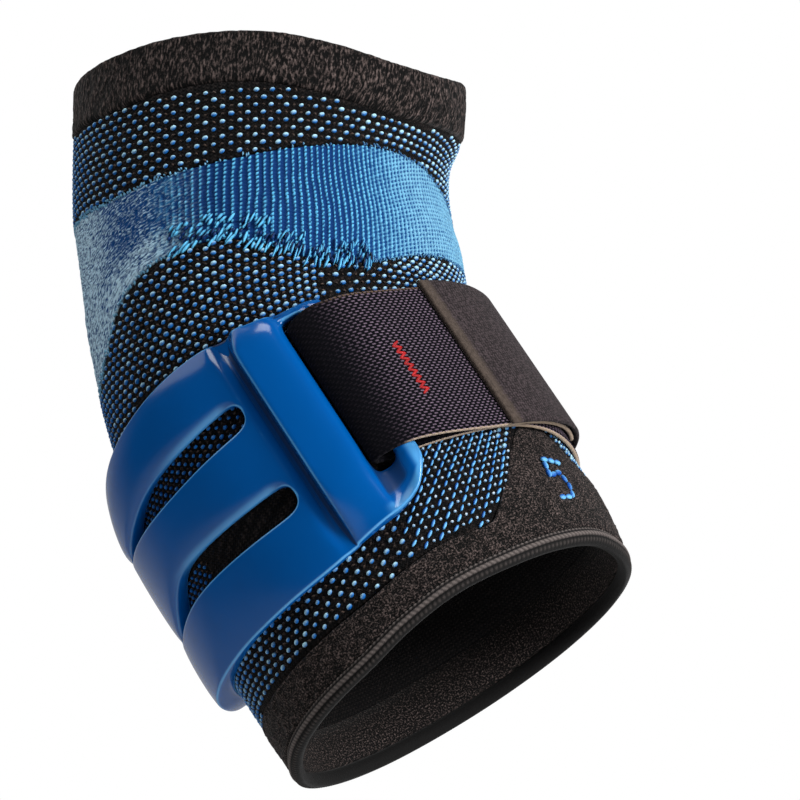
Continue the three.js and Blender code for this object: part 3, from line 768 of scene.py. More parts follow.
def plush_pile(name, wide, tall):
    """Looped pile with lighter tips, in strands of a width round the arm and a height along it."""
    shades = bpy.context.scene.elbow_colours
    finish = cloth(name, 0.9, 0.15, 0.06, 0.45)
    across, along = finish.stitches()
    place = finish.node("ShaderNodeCombineXYZ", {}, [across / wide, along / tall])
    strand = finish.noise(1.0, 1.5, place)
    fuzz = finish.noise(2400.0, 3.0)
    tip = (finish.layer(RELIEF) * 0.12 + strand * 0.8 + fuzz * 0.3).rise(0.56, 0.9)
    finish.show("Base Color", finish.blend(tip, shades.plush, shades.plush_tip))
    finish.emboss(strand * 0.7 + fuzz * 0.3, 0.45 * MM)
    return finish.material


def rolled_hem():
    """Fine cord and stitches, light where they stand out."""
    shades = bpy.context.scene.elbow_colours
    finish = cloth("hem_black", 0.85, 0.2, 0.06, 0.45)
    fuzz = finish.noise(2200.0, 3.0)
    lit = finish.layer(RELIEF) * (fuzz * 0.9 + 0.5)
    finish.show("Base Color", finish.blend(lit, shades.hem, shades.hem_tip))
    finish.emboss(fuzz, 0.15 * MM)
    return finish.material


def dyed_yarn(name, low, high):
    """Smooth bright yarn, from its shaded to its lit side."""
    finish = cloth(name, 0.45, 0.25, 0.02, 0.3)
    fuzz = finish.noise(2500.0)
    tone = finish.layer(TONE) + (fuzz - 0.5) * 0.3
    finish.show("Base Color", finish.blend(tone.rise(0.0, 1.0), low, high))
    finish.show("Roughness", 0.35 + fuzz * 0.2)
    finish.emboss(fuzz, 0.1 * MM)
    return finish.material


def moulded_plastic():
    """Satin plastic with a very fine mould grain, paler along its edges where worn and as painted highlight,
    and dark in its hollows as painted shade.
    """
    shades = bpy.context.scene.elbow_colours
    finish = Finish("plate_blue", {
        "Roughness": 0.2, "Specular IOR Level": 0.5, "Coat Weight": 0.05, "Coat Roughness": 0.1,
    })
    grain = finish.noise(2600.0, 2.0)
    cloud = finish.noise(45.0, 3.0)
    # Above 0 the plate is painted paler (worn edges and painted highlight), below 0 darker (painted shade)
    turn = finish.layer(WEAR_AND_PAINTED_LIGHT)
    wear_and_painted_light = turn.rise(0.0, 1.0)
    painted_hollow_shade = (0 - turn).rise(0.0, 1.0)
    smooth = finish.blend(cloud, tinted(shades.plate, 0.88), shades.plate)
    body = finish.blend(painted_hollow_shade * 0.8, smooth, shades.plate_painted_shade)
    finish.show("Base Color", finish.blend(wear_and_painted_light * (cloud * 0.6 + 0.4), body, shades.plate_edge))
    finish.show("Roughness", 0.13 + cloud * 0.05 + grain * 0.03 + wear_and_painted_light * 0.05 + painted_hollow_shade * 0.2)
    finish.emboss(grain, 0.03 * MM, 0.12)
    return finish.material


def woven_strap():
    """Elastic webbing: rows of short light threads, each shifted from the last, and pale cut edges. Over the
    fold round the rail the threads and the edge beads are painted dark as painted shade, and the pale edge
    is left out round the fold's middle."""
    brace = bpy.context.scene.elbow_brace
    shades = bpy.context.scene.elbow_colours
    row_width, dash_length, bead_length, cut_width = 0.74, 1.45, 0.95, 0.18
    fold_middle = 70.0
    finish = cloth("webbing", 0.95, 0.05, 0.02, 0.5)
    along, across = finish.stitches()
    row = across / row_width
    number = row.whole()
    shift = finish.node("ShaderNodeTexWhiteNoise", {"noise_dimensions": "1D"}, {"W": number}, "Value")
    dash = (along / dash_length + number * 0.42 + shift * 0.16).wave().rise(0.2, 0.75)
    ridge = (row + 0.5).wave().rise(0.15, 0.9)
    fuzz = finish.noise(1400.0, 3.0)
    # Painted shade over the fold round the rail: the threads and the edge beads fade into the dark ground
    fold = along.rise(55.0, 66.0) * along.fall(84.0, 100.0)
    thread = dash * ridge * (fuzz * 1.4 + 0.1) * (1 - fold * 0.97)
    woven = finish.blend(thread, shades.strap, shades.strap_dash)
    beads = (along / bead_length).wave() * across.fall(0.5, 1.1) * (1 - fold)
    bordered = finish.blend(beads, woven, shades.selvedge)
    away = (along - fold_middle).size().rise(6.0, 9.0)
    cut_edge = (across > brace.strap_width / MM - cut_width) * away
    finish.show("Base Color", finish.blend(cut_edge, bordered, shades.strap_edge))
    finish.emboss(dash * ridge * 0.7 + fuzz * 0.3, 0.2 * MM)
    return finish.material


def hook_tape():
    """Brownish tape with a fine even weave and a pressed strip along its free edge."""
    shades = bpy.context.scene.elbow_colours
    thread_length, thread_width = 0.9, 0.8
    finish = cloth("hook_tape", 0.9, 0.12, 0.05, 0.5)
    along, across = finish.stitches()
    shift = (along / (thread_length * 2)).whole() * 0.5
    weave = (along / thread_length).wave() * (across / thread_width + shift).wave()
    fuzz = finish.noise(1050.0, 3.0)
    pressed = (along + (fuzz - 0.5) * 3.0).fall(1.6, 3.4)
    lit = (weave * 0.25 + fuzz).rise(0.42, 0.78)
    tape = finish.blend(lit, tinted(shades.tab, 0.4), tinted(shades.tab, 1.7))
    strip = finish.blend(fuzz.rise(0.3, 0.7), tinted(shades.tab_strip, 0.6), shades.tab_strip)
    finish.show("Base Color", finish.blend(pressed, tape, strip))
    finish.emboss(weave * 0.5 + fuzz * 0.5, 0.2 * MM)
    return finish.material


# Stitches on the sleeve
def stitch_template(sides):
    """One stitch of unit half length, half width and height: rings of points and its quads."""
    turn = np.arange(sides) * math.tau / sides
    ring = np.stack([np.cos(turn), np.sin(turn), np.zeros(sides)], axis=-1)
    foot = ring + (0, 0, -0.35)
    waist = ring * (0.78, 0.78, 1) + (0, 0, 0.68)
    crown = ring * (0.32, 0.32, 1) + (0, 0, 1.0)
    points = np.vstack([foot, waist, crown])
    quads = grid_quads(3, sides)
    cap = np.array([(0, k, k + 1, k + 2) for k in range(1, sides - 2, 2)])
    return points, np.vstack([quads, cap[:, ::-1], cap + 2 * sides])


def unit(vectors):
    """Vectors brought to a length of 1."""
    return vectors / np.linalg.norm(vectors, axis=-1, keepdims=True)


def stitch_piece(name, spots, sizes, finish, sides=8, point_at=sleeve_point, base=0.0, shade=0.0):
    """Many stitches as one piece. spots holds stations and angles, and sizes the half length, half
    width, height and slant of each, the slant in degrees from the way round the arm. base is their lift
    off the sleeve, and shade how much darker than others each stitch is painted, as painted shade."""
    station, angle = spots
    half_length, half_width, height, slant = (np.broadcast_to(s, station.shape) for s in sizes)
    lift = np.broadcast_to(base, station.shape)
    place = point_at(station, angle, lift)
    step, small_turn = 0.1 * MM, 0.05
    down = unit(point_at(station + step, angle, lift) - place)
    out = unit(point_at(station, angle, lift + step) - place)
    way = unit(np.cross(out, down))
    ahead = point_at(station, angle + small_turn, lift) - place
    way *= np.sign(np.sum(ahead * way, axis=-1, keepdims=True))
    c, s = np.cos(np.radians(slant))[:, None], np.sin(np.radians(slant))[:, None]
    long_way, short_way = way * c + down * s, down * c - way * s
    template, quads = stitch_template(sides)
    points = (
        place[:, None]
        + template[None, :, :1] * (long_way * half_length[:, None])[:, None]
        + template[None, :, 1:2] * (short_way * half_width[:, None])[:, None]
        + template[None, :, 2:] * (out * height[:, None])[:, None]
    )
    faces = quads[None] + (np.arange(len(station)) * len(template))[:, None, None]
    shade = np.broadcast_to(shade, station.shape)[:, None]
    # A random tone for each stitch, with the side towards the elbow painted lighter and the side towards the
    # hand darker: painted highlight and painted shade
    tone = RANDOM.uniform(0.32, 0.68, (len(station), 1)) - template[:, 1] * 0.6 - shade
    layers = {TONE: np.clip(tone, 0, 1)}
    piece = new_piece(name, points.reshape(-1, 3), faces.reshape(-1, 4), finish, None, layers)
    settle(piece, None)


def dot_lattice(upper, lower):
    """Stations and angles of staggered dots between two boundaries, with fewer rows where the sleeve is
    pressed together in the bend. Gives the angles halfway to the next dot of the row too."""
    sleeve = bpy.context.scene.elbow_sleeve
    margin, least_spacing = 0.75 * MM, 0.8 * MM
    angles, _, count = columns_round(DOT_COLUMNS, 2)
    row, column = np.meshgrid(np.arange(int(ROW_NUMBERS[-1])), np.arange(count), indexing="ij")
    row, column = row.ravel(), column.ravel()
    place = column * 2 + row % 2
    angle, beside = angles[place], angles[(place + 1) % len(angles)]
    station = np.interp(row, ROW_NUMBERS, ROW_STATIONS)
    on_bend = np.abs(station) < sleeve.bend_radius * sleeve.bend / 2
    crowded = on_bend & (DOT_ROWS.read("spacing", station) * (1 - skin_lean(angle)) < least_spacing)
    inside = (station > upper(angle) + margin) & (station < lower(angle) - margin)
    kept = inside & (~crowded | (row % 3 == 0))
    return station[kept], angle[kept], beside[kept]


def plate_angle(angle):
    """Angles as the plate counts them, past -180 round the back."""
    return np.where(angle > 150, angle - 360, angle)


def is_between(value, low, high):
    """Which values lie between two limits."""
    return (value > low) & (value < high)


def is_in_slot(station, angle):
    """Which spots of the forearm lie in the plate's slots."""
    along, turn = station / MM, plate_angle(angle)
    shown = [
        (np.abs(along - middle) < half) & is_between(turn, start, end)
        for middle, half, start, end in SLOT_VIEWS
    ]
    return np.any(shown, axis=0)


def is_covered(station, angle):
    """Which spots of the forearm lie out of sight under the plate or the strap."""
    along, turn = station / MM, plate_angle(angle)
    top, bottom = PLATE.read("top", turn) / MM, PLATE.read("bottom", turn) / MM
    behind = turn < COVER_ANGLE
    under_plate = behind & is_between(along, top + PLATE_MARGIN, bottom - PLATE_MARGIN)
    in_pocket = (turn < POCKET_ANGLE) & is_between(along, *POCKET_COVER)
    under_strap = ~behind & (is_between(along, *STRAP_COVER) | in_pocket)
    return (under_plate & ~is_in_slot(station, angle)) | under_strap


# Bands
def smooth_route(route, steps):
    """Even points along a smooth curve through a route: arc, lift, upper and lower edge. Gives the
    distance run to each of them too."""
    corners = np.array(route) * (metres_per_degree(), MM, MM, MM)
    chords = np.linalg.norm(np.diff(corners[:, :3], axis=0), axis=1)
    key = running_total(np.sqrt(chords))
    curve = Table("key arc lift top bottom", np.column_stack([key, corners / MM]))
    fine = np.linspace(0, key[-1], steps * 8)
    line = np.stack([curve.read(name, fine) for name in ("arc", "lift", "top", "bottom")], axis=-1)
    run = running_total(np.linalg.norm(np.diff(line[:, :3], axis=0), axis=1))
    even = np.linspace(0, run[-1], steps + 1)
    return np.stack([np.interp(even, run, line[:, k]) for k in range(4)], axis=-1), even


def band(name, route, width, thickness, steps, finish):
    """A woven band of even thickness along a route round the forearm, with soft edges. Gives its length
    too."""
    line, run = smooth_route(route, steps)
    way = np.gradient(line, axis=0)
    normal = unit(np.stack([-way[:, 1], way[:, 0]], axis=-1))
    border, inner_columns = 1.5 * MM, 24
    soft = np.array([(0.0, 0.3), (0.2, 0.7), (0.6, 1.0)])
    inner = np.linspace(border, width - border, inner_columns)
    across = np.concatenate([soft[:, 0] * MM, inner, width - soft[::-1, 0] * MM])
    rise = np.concatenate([soft[:, 1], np.ones(inner_columns), soft[::-1, 1]]) * (thickness / 2)
    across = np.concatenate([across, across[::-1]])
    rise = np.concatenate([rise, -rise[::-1]])
    arc, lift, top, bottom = np.split(line, 4, axis=1)
    arc_way, lift_way = np.split(normal, 2, axis=1)
    angle = (arc + arc_way * rise) / metres_per_degree()
    along = top + (bottom - top) * across / width
    points = forearm_point(along, angle, lift + lift_way * rise).reshape(-1, 3)
    size = len(across)
    k = np.arange(size // 2 - 1)
    first = np.stack([k, k + 1, size - 2 - k, size - 1 - k], axis=-1)
    last = steps * size + first[:, ::-1]
    faces = np.vstack([grid_quads(steps + 1, size), first[:, ::-1], last[:, ::-1]])
    u = np.broadcast_to(run[:, None], (steps + 1, size)).ravel() / MM
    v = np.broadcast_to(across, (steps + 1, size)).ravel() / MM
    stitches = np.stack([u[faces], v[faces]], axis=-1)
    return new_piece(name, points, faces, finish, stitches), float(run[-1])


class ELBOW_OT_stage(bpy.types.Operator):
    """Adds the camera, the lights and a pale floor"""
    bl_idname = "elbow.stage"
    bl_label = "Stage"

    lights = (
        # name, place to the right, above and in front of the target, width, height, lean and power
        ("key", 0.8, 0.35, 0.55, 0.4, 0.4, 0, 12.3),
        ("top", -0.15, 0.95, 0.3, 0.45, 0.45, 0, 3.7),
        ("low", -0.52, -0.55, 0.62, 0.22, 0.75, 24, 1.6),
        ("side", -0.8, 0.65, 0.0, 0.7, 0.7, 0, 2.4),
    )

    def execute(self, context):
        stage = context.scene.elbow_stage
        context.scene.view_settings.view_transform = "Standard"
        sine, cosine = math.sin(stage.azimuth), math.cos(stage.azimuth)
        right = Vector((cosine, sine, 0))
        high, flat = math.sin(stage.elevation), math.cos(stage.elevation)
        back = Vector((sine * flat, -cosine * flat, high))
        up = back.cross(right)
        aim = right * stage.aim_right + up * stage.aim_up
        camera = bpy.data.objects.new("camera", bpy.data.cameras.new("camera"))
        camera.data.lens = stage.lens
        turn = Matrix((right, up, back)).transposed()
        camera.matrix_world = Matrix.Translation(aim + back * stage.distance) @ turn.to_4x4()
        context.collection.objects.link(camera)
        context.scene.camera = camera
        for name, *place, wide, tall, lean, power in self.lights:
            spot = aim + right * place[0] + up * place[1] + back * place[2]
            turn = (aim - spot).to_track_quat("-Z", "Y") @ Quaternion((0, 0, 1), math.radians(lean))
            light = bpy.data.lights.new(name, "AREA")
            light.shape = "RECTANGLE"
            light.size, light.size_y = wide, tall
            light.energy = power
            holder = bpy.data.objects.new(name, light)
            holder.matrix_world = Matrix.Translation(spot) @ turn.to_matrix().to_4x4()
            context.collection.objects.link(holder)
        self.add_world(context)
        deselect()
        bpy.ops.mesh.primitive_circle_add(vertices=96, radius=1.5, fill_type="NGON")
        floor = context.object
        floor.name = "floor"
        floor.data.transform(Matrix.Translation((0, 0, stage.floor_height)))
        finish = Finish("floor", {"Roughness": 0.9})
        pale = context.scene.elbow_colours.floor
        finish.show("Base Color", finish.blend(finish.noise(3.0), tinted(pale, 0.96), pale))
        floor.data.materials.append(finish.material)
        return {"FINISHED"}

    def add_world(self, context):
        """A white room behind the object and a dim one in front of it, seen as white."""
        world = bpy.data.worlds.new("studio")
        world.use_nodes = True
        context.scene.world = world
        room = NodeTree(world.node_tree)
        background = world.node_tree.nodes["Background"]
        background.inputs["Color"].default_value = (1, 1, 1, 1)
        way = room.node("ShaderNodeTexCoord", {}, {}, "Generated")
        behind = room.node("ShaderNodeSeparateXYZ", {}, [way], "Y")
        light = behind.rise(-0.1, 0.8) * 0.45 + 0.015
        seen = room.node("ShaderNodeLightPath", {}, {}, "Is Camera Ray")
        room.feed(background.inputs["Strength"], light * (1 - seen) + seen)


class ELBOW_OT_knit(bpy.types.Operator):
    """Knits the dotted zones and the light ribbed panel"""
    bl_idname = "elbow.knit"
    bl_label = "Knit zones"

    # Degrees from the front over which the panel's net ends, its haze starts, and a deep tone between
    # them starts and ends, and the millimetres above the lower edge over which that tone starts
    net_ends = (26, 66)
    haze_starts = (98, 122)
    deep_starts = (98, 112)
    deep_ends = (128, 150)
    deep_above = (4, 10)
    # Degrees from the front between which loops are pulled, and between which the fringe is sparse
    pulled = (50, 112)
    sparse = (50, 106)
    # The slant of the pulled loops by the degrees from the front
    slant_places = (44, 66, 90, 113)
    slants = (96, 106, 124, 142)
    stray_turn = 0.5

    def execute(self, context):
        ground = knit_ground()
        self.dotted_zone("upper_knit", upper_cuff_end, panel_upper, (30, 3), ground)
        self.dotted_zone("forearm_knit", panel_lower, lower_cuff_start, (96, 12), ground)
        self.ribbed_panel(context)
        return {"FINISHED"}

    def dotted_zone(self, name, upper, lower, rows, finish):
        """A zone of black knit, with a number of rows on its outside and on its inside."""
        angles, column, count = columns_round(DOT_COLUMNS, 5)
        station, angle, lift, outer = knit_section(upper, lower, angles, rows[0], inner_rows=rows[1])
        row = np.interp(station, ROW_STATIONS, ROW_NUMBERS)
        lumps = np.abs(np.cos(math.tau * column) * np.cos(math.pi * row))
        rough = soft_noise(column * 3, row * 2, count * 3, 5)
        lift[:outer] += (lumps[:outer] * 0.2 + (rough[:outer] - 0.5) * 0.14 - 0.2) * MM
        # The relief gives the painted highlight on the raised lumps in the knit's colour
        relief = np.where(np.arange(len(lift))[:, None] < outer, lumps * 0.7 + rough * 0.3, 0.35)
        piece = ring_piece("knit_" + name, (station, angle, lift), finish, {RELIEF: relief})
        settle(piece, name)
        declare_zone(upper, lower)

    def ribbed_panel(self, context):
        """The light panel: beaded ribs at the sides, a net to the front and a fine grain to the back."""
        sleeve = context.scene.elbow_sleeve
        angles, ribs, count = columns_round(RIBS, 5)
        station, angle, lift, outer = knit_section(panel_upper, panel_lower, angles, 72)
        from_front = np.abs(signed_angle(angle))
        course = skin_distance(station, angle) / sleeve.rib_stitch
        drift = (soft_noise(ribs * 0.5, course * 0.2, count // 2, 11) - 0.5) * 0.22
        round_wave = np.cos(math.tau * (ribs + drift))
        course_wave = np.cos(math.tau * course)
        rough = soft_noise(ribs * 2, course * 1.4, count * 2, 12)
        bead = smooth_rise(round_wave, 0.0, 0.98) * (0.2 + 0.8 * smooth_rise(course_wave, -0.7, 0.6))
        ribbed = bead * (0.8 + 0.4 * rough) + 0.1 * rough
        netted = 0.8 - 0.75 * smooth_rise(-round_wave - course_wave, -0.1, 1.3) + 0.3 * (rough - 0.5)
        grain = 0.5 + 0.9 * (rough - 0.5)
        to_front = smooth_fall(from_front, *self.net_ends)
        to_back = smooth_rise(from_front, *self.haze_starts)
        height = ribbed * (1 - to_front - to_back) + netted * to_front + grain * to_back
        lift[:outer] += (height[:outer] * 0.6 - 0.4) * MM
        drape = (panel_lower(angle) - station) / MM
        deep = smooth_rise(from_front, *self.deep_starts) * smooth_fall(from_front, *self.deep_ends)
        deep *= smooth_rise(drape, *self.deep_above)
        layers = {
            RELIEF: np.clip(height, 0, 1), WASH: to_front, HAZE: to_back, DRAPE: drape, DEEP: deep,
        }
        piece = ring_piece("knit_stretch_panel", (station, angle, lift), rib_knit(), layers)
        settle(piece, "stretch_panel")
        declare_zone(panel_upper, panel_lower)
        self.gathers()
        self.fringe()

    def gathers(self):
        """The pulled loops along the panel's lower edge, over the outer and the inner side, with dark
        strands among them that stand in for the shade between the loops (painted shade)."""
        shades = bpy.context.scene.elbow_colours
        light = dyed_yarn("gather_yarn", shades.rib_gap, shades.rib)
        # Dark strands that stand in for the shade between the loops: painted shade
        dark = dyed_yarn("gather_shadow_yarn", shades.knit, shades.rib_gap)
        self.strands("gathers", 0.85, (-2.4, 1.5), (1.1, 2.3), (0.26, 0.42), light)
        self.strands("gathers_high", 0.7, (-6.5, -1.6), (0.8, 1.7), (0.24, 0.38), light)
        self.strands("gather_shadow_strands", 0.6, (-2.8, 0.4), (0.6, 1.3), (0.24, 0.4), dark)
        self.strands("gather_shadow_strands_high", 0.7, (-5.0, -1.0), (0.6, 1.2), (0.3, 0.5), dark)

    def strands(self, name, share, offset, half_length, half_width, finish):
        """Loose slanting strands on a share of the half ribs, with the least and greatest offset from
        the panel's edge, half length and half width."""
        angles, _, _ = columns_round(RIBS, 2)
        from_front = np.abs(angles)
        chosen = is_between(from_front, *self.pulled) & (RANDOM.random(len(angles)) < share)
        angles, from_front = angles[chosen], from_front[chosen]
        count = len(angles)
        angles = angles + RANDOM.uniform(-self.stray_turn, self.stray_turn, count)
        station = panel_lower(angles) + RANDOM.uniform(*offset, count) * MM
        slant = np.interp(from_front, self.slant_places, self.slants) + RANDOM.uniform(-14, 14, count)
        slant = np.where(angles < 0, slant, 180 - slant)
        sizes = (
            RANDOM.uniform(*half_length, count) * MM, RANDOM.uniform(*half_width, count) * MM,
            RANDOM.uniform(0.5, 0.7, count) * MM, slant,
        )
        stitch_piece(name, (station, angles), sizes, finish, base=0.05 * MM)

    def fringe(self):
        """Short pale loops along the panel's edges."""
        shades = bpy.context.scene.elbow_colours
        angles, _, _ = columns_round(RIBS, 2)
        from_front = np.abs(angles)
        smooth_edge = (from_front < self.sparse[0]) | (from_front > self.sparse[1])
        below = angles[smooth_edge]
        above = angles[smooth_edge | (RANDOM.random(len(angles)) < 0.3)]
        station = np.concatenate([panel_upper(above), panel_lower(below)])
        angles = np.concatenate([above, below])
        count = len(angles)
        station = station + RANDOM.uniform(-0.6, 0.6, count) * MM
        angles = angles + RANDOM.uniform(-self.stray_turn, self.stray_turn, count)
        sizes = (
            RANDOM.uniform(0.35, 0.7, count) * MM, RANDOM.uniform(0.24, 0.36, count) * MM,
            0.4 * MM, RANDOM.uniform(45, 135, count),
        )
        yarn = dyed_yarn("fringe_yarn", shades.wash_gap, shades.wash)
        stitch_piece("fringe", (station, angles), sizes, yarn, 4, base=-0.1 * MM)


class ELBOW_OT_cuffs(bpy.types.Operator):
    """Makes the plush cuffs and the rolled hem"""
    bl_idname = "elbow.cuffs"
    bl_label = "Cuffs and hem"

    # Stations over which the lower cuff's pile rises again below the strap
    press_ends = (62 * MM, 72 * MM)
    cuff_columns = 720
    hem_stitches = 236
    # Angles round the hem's section and half widths there, in degrees
    stitch_row = (50, 10)
    upper_groove = (31, 8)
    roll_band = (6, 17)
    lower_groove = (-19, 7)
    rim_row = (-38, 13)

    def execute(self, context):
        terry = plush_pile("plush_black", 0.56, 1.6)
        loose = plush_pile("plush_loose", 0.46, 0.46)
        self.cuff("cuff_upper", "upper_cuff", top_rim, upper_cuff_end, 40, 1.2 * MM, (0.9, 1.8), terry)
        self.cuff("cuff_lower", "lower_cuff", lower_cuff_start, hem_start, 46, 0.5 * MM, (0.9, 0.9), loose)
        self.hem(context)
        return {"FINISHED"}

    def cuff(self, name, node, upper, lower, rows, rim, loop, finish):
        """A ring of plush, pressed flat where it reaches under the strap. Its loops have a width round
        the arm and a height along it."""
        proud = bpy.context.scene.elbow_sleeve.cuff_proud
        loops_round = round(360 * metres_per_degree() / (loop[0] * MM))
        angles = even_angles(self.cuff_columns)
        station, angle, lift, outer = knit_section(upper, lower, angles, rows, rim)
        height = soft_noise(angle / 360 * loops_round, station / (loop[1] * MM), loops_round, 21)
        pressed = (station > 0) * smooth_fall(station, *self.press_ends)
        height[outer:] = 0.3
        lift[:outer] += (proud * (1 - pressed) + (height - 0.6) * 0.4 * MM)[:outer]
        piece = ring_piece(name, (station, angle, lift), finish, {RELIEF: height})
        settle(piece, node)
        declare_zone(upper, lower)

    def hem(self, context):
        """The rolled hem: a row of light stitches, a groove, a twisted roll and a beaded rim."""
        sleeve = context.scene.elbow_sleeve
        columns = self.hem_stitches * 4
        turn = np.radians(np.concatenate([np.linspace(-105, 105, 29), np.linspace(130, 230, 5)]))[:, None]
        angle = np.broadcast_to(even_angles(columns), (len(turn), columns))
        stitch = angle / 360 * self.hem_stitches
        degrees = np.degrees(turn)
        beads = 0.5 + 0.5 * np.cos(math.tau * stitch)
        twist = 0.5 + 0.5 * np.cos(math.tau * (stitch + degrees / 50))
        row = bump(degrees, *self.stitch_row) * beads
        groove = bump(degrees, *self.upper_groove) + bump(degrees, *self.lower_groove)
        roll = bump(degrees, *self.roll_band, 4) * (0.25 + 0.75 * twist)
        rim = bump(degrees, *self.rim_row) * beads
        radius = 0.95 + 0.12 * row + 0.1 * roll + 0.14 * rim - 0.1 * groove
        middle = hem_start(angle) + (sleeve.hem_height + sleeve.seam) / 2
        station = middle - (sleeve.hem_height + sleeve.hem_tuck) / 2 * np.sin(turn) * radius
        lift = sleeve.hem_lift + sleeve.hem_thickness / 2 * np.cos(turn) * radius
        lit = np.clip(0.95 * row + 0.75 * roll + 0.2 * rim - 0.2 * groove, 0, 1)
        piece = ring_piece("hem", (station, angle, lift), rolled_hem(), {RELIEF: lit})
        settle(piece, "hem_roll")


class ELBOW_OT_stitches(bpy.types.Operator):
    """Adds the knitted dots, the pale points and the numeral"""
    bl_idname = "elbow.stitches"
    bl_label = "Dots and numeral"

    # Where dashes and points take the place of dots: below a station, between two angles
    streaks_below = 43 * MM
    streaks_between = (-84, -44)
    # Stations over which the dots grow darker, and over which they grow lighter again, as painted shade and
    # painted light
    dim_starts = (-30 * MM, 0.0)
    dim_ends = (24 * MM, 56 * MM)
    sunk = -0.05 * MM
    # The numeral's stitches: millimetres to the first one, between two, and each way to read the lean
    numeral_start = 1.1
    numeral_step = 2.3
    numeral_reach = 0.5

    def execute(self, context):
        shades = context.scene.elbow_colours
        dot_yarn = dyed_yarn("dot_yarn", shades.dot, shades.dot_light)
        point_yarn = dyed_yarn("point_yarn", shades.point, shades.point_light)
        fleck_yarn = dyed_yarn("fleck_yarn", shades.knit, shades.fleck)
        streak_yarn = dyed_yarn("streak_yarn", shades.streak_shade, shades.streak)
        station, angle, beside = dot_lattice(upper_cuff_end, panel_upper)
        self.dots("dots_upper", (station, angle), dot_yarn)
        self.flecks("flecks_upper", (station, beside), fleck_yarn)
        station, angle, beside = dot_lattice(panel_lower, lower_cuff_start)
        seen = ~is_covered(station, angle)
        streaked = seen & (station > self.streaks_below) & is_between(angle, *self.streaks_between)
        plain = seen & ~streaked
        self.dots("dots_forearm", (station[plain], angle[plain]), dot_yarn)
        self.flecks("flecks_forearm", (station[plain], beside[plain]), fleck_yarn)
        self.dashes((station[streaked], angle[streaked]), streak_yarn)
        self.points((station[streaked], beside[streaked]), point_yarn)
        self.numeral(streak_yarn)
        return {"FINISHED"}

    def dots(self, name, spots, finish):
        """Round blue dots, smaller in the plate's slots and painted darker there as painted shade; darker
        below the panel and lighter further down as painted shade and painted light.
        """
        station = spots[0]
        count = len(station)
        in_slot = is_in_slot(*spots)
        vary = RANDOM.uniform(0.85, 1.15, count) * (1 - in_slot * 0.18)
        # Painted shade in the slots and below the panel, and painted light further down the forearm
        low = smooth_rise(station, *self.dim_starts) * (1 - 1.3 * smooth_rise(station, *self.dim_ends))
        shade = np.where(in_slot, 0.45, low * 0.12)
        sizes = (0.76 * MM * vary, 0.56 * MM * vary, 0.46 * MM, RANDOM.uniform(-34, -8, count))
        stitch_piece(name, spots, sizes, finish, base=self.sunk, shade=shade)

    def flecks(self, name, spots, finish):
        """Small brown loops between the dots of a row."""
        count = len(spots[0])
        vary = RANDOM.uniform(0.7, 1.3, count)
        sizes = (0.5 * MM * vary, 0.3 * MM, 0.3 * MM, RANDOM.uniform(-40, 40, count))
        stitch_piece(name, spots, sizes, finish, 4)

    def dashes(self, spots, finish):
        """Slanting dashes below the strap."""
        count = len(spots[0])
        vary = RANDOM.uniform(0.85, 1.15, count)
        sizes = (1.1 * MM * vary, 0.4 * MM * vary, 0.36 * MM, RANDOM.uniform(138, 152, count))
        stitch_piece("dots_streaked", spots, sizes, finish, base=self.sunk)

    def points(self, spots, finish):
        """Pale points between the dashes."""
        sizes = (0.44 * MM, 0.38 * MM, 0.36 * MM, RANDOM.uniform(-40, 40, len(spots[0])))
        stitch_piece("points_forearm", spots, sizes, finish, 6, base=self.sunk)

    def numeral(self, finish):
        """A numeral in long stitches along its line, on the plush."""
        along, turn = np.array(NUMERAL).T
        arc = turn * metres_per_degree() / MM
        run = running_total(np.hypot(np.diff(along), np.diff(arc)))
        even = np.arange(self.numeral_start, run[-1], self.numeral_step)
        ahead, behind = even + self.numeral_reach, even - self.numeral_reach
        down, across = (np.interp(ahead, run, way) - np.interp(behind, run, way) for way in (along, arc))
        lean = np.degrees(np.arctan2(down, across))
        spots = np.interp(even, run, along) * MM, np.interp(even, run, turn)
        sizes = (1.3 * MM, 0.8 * MM, 0.5 * MM, lean)
        stitch_piece("numeral", spots, sizes, finish, base=0.55 * MM)


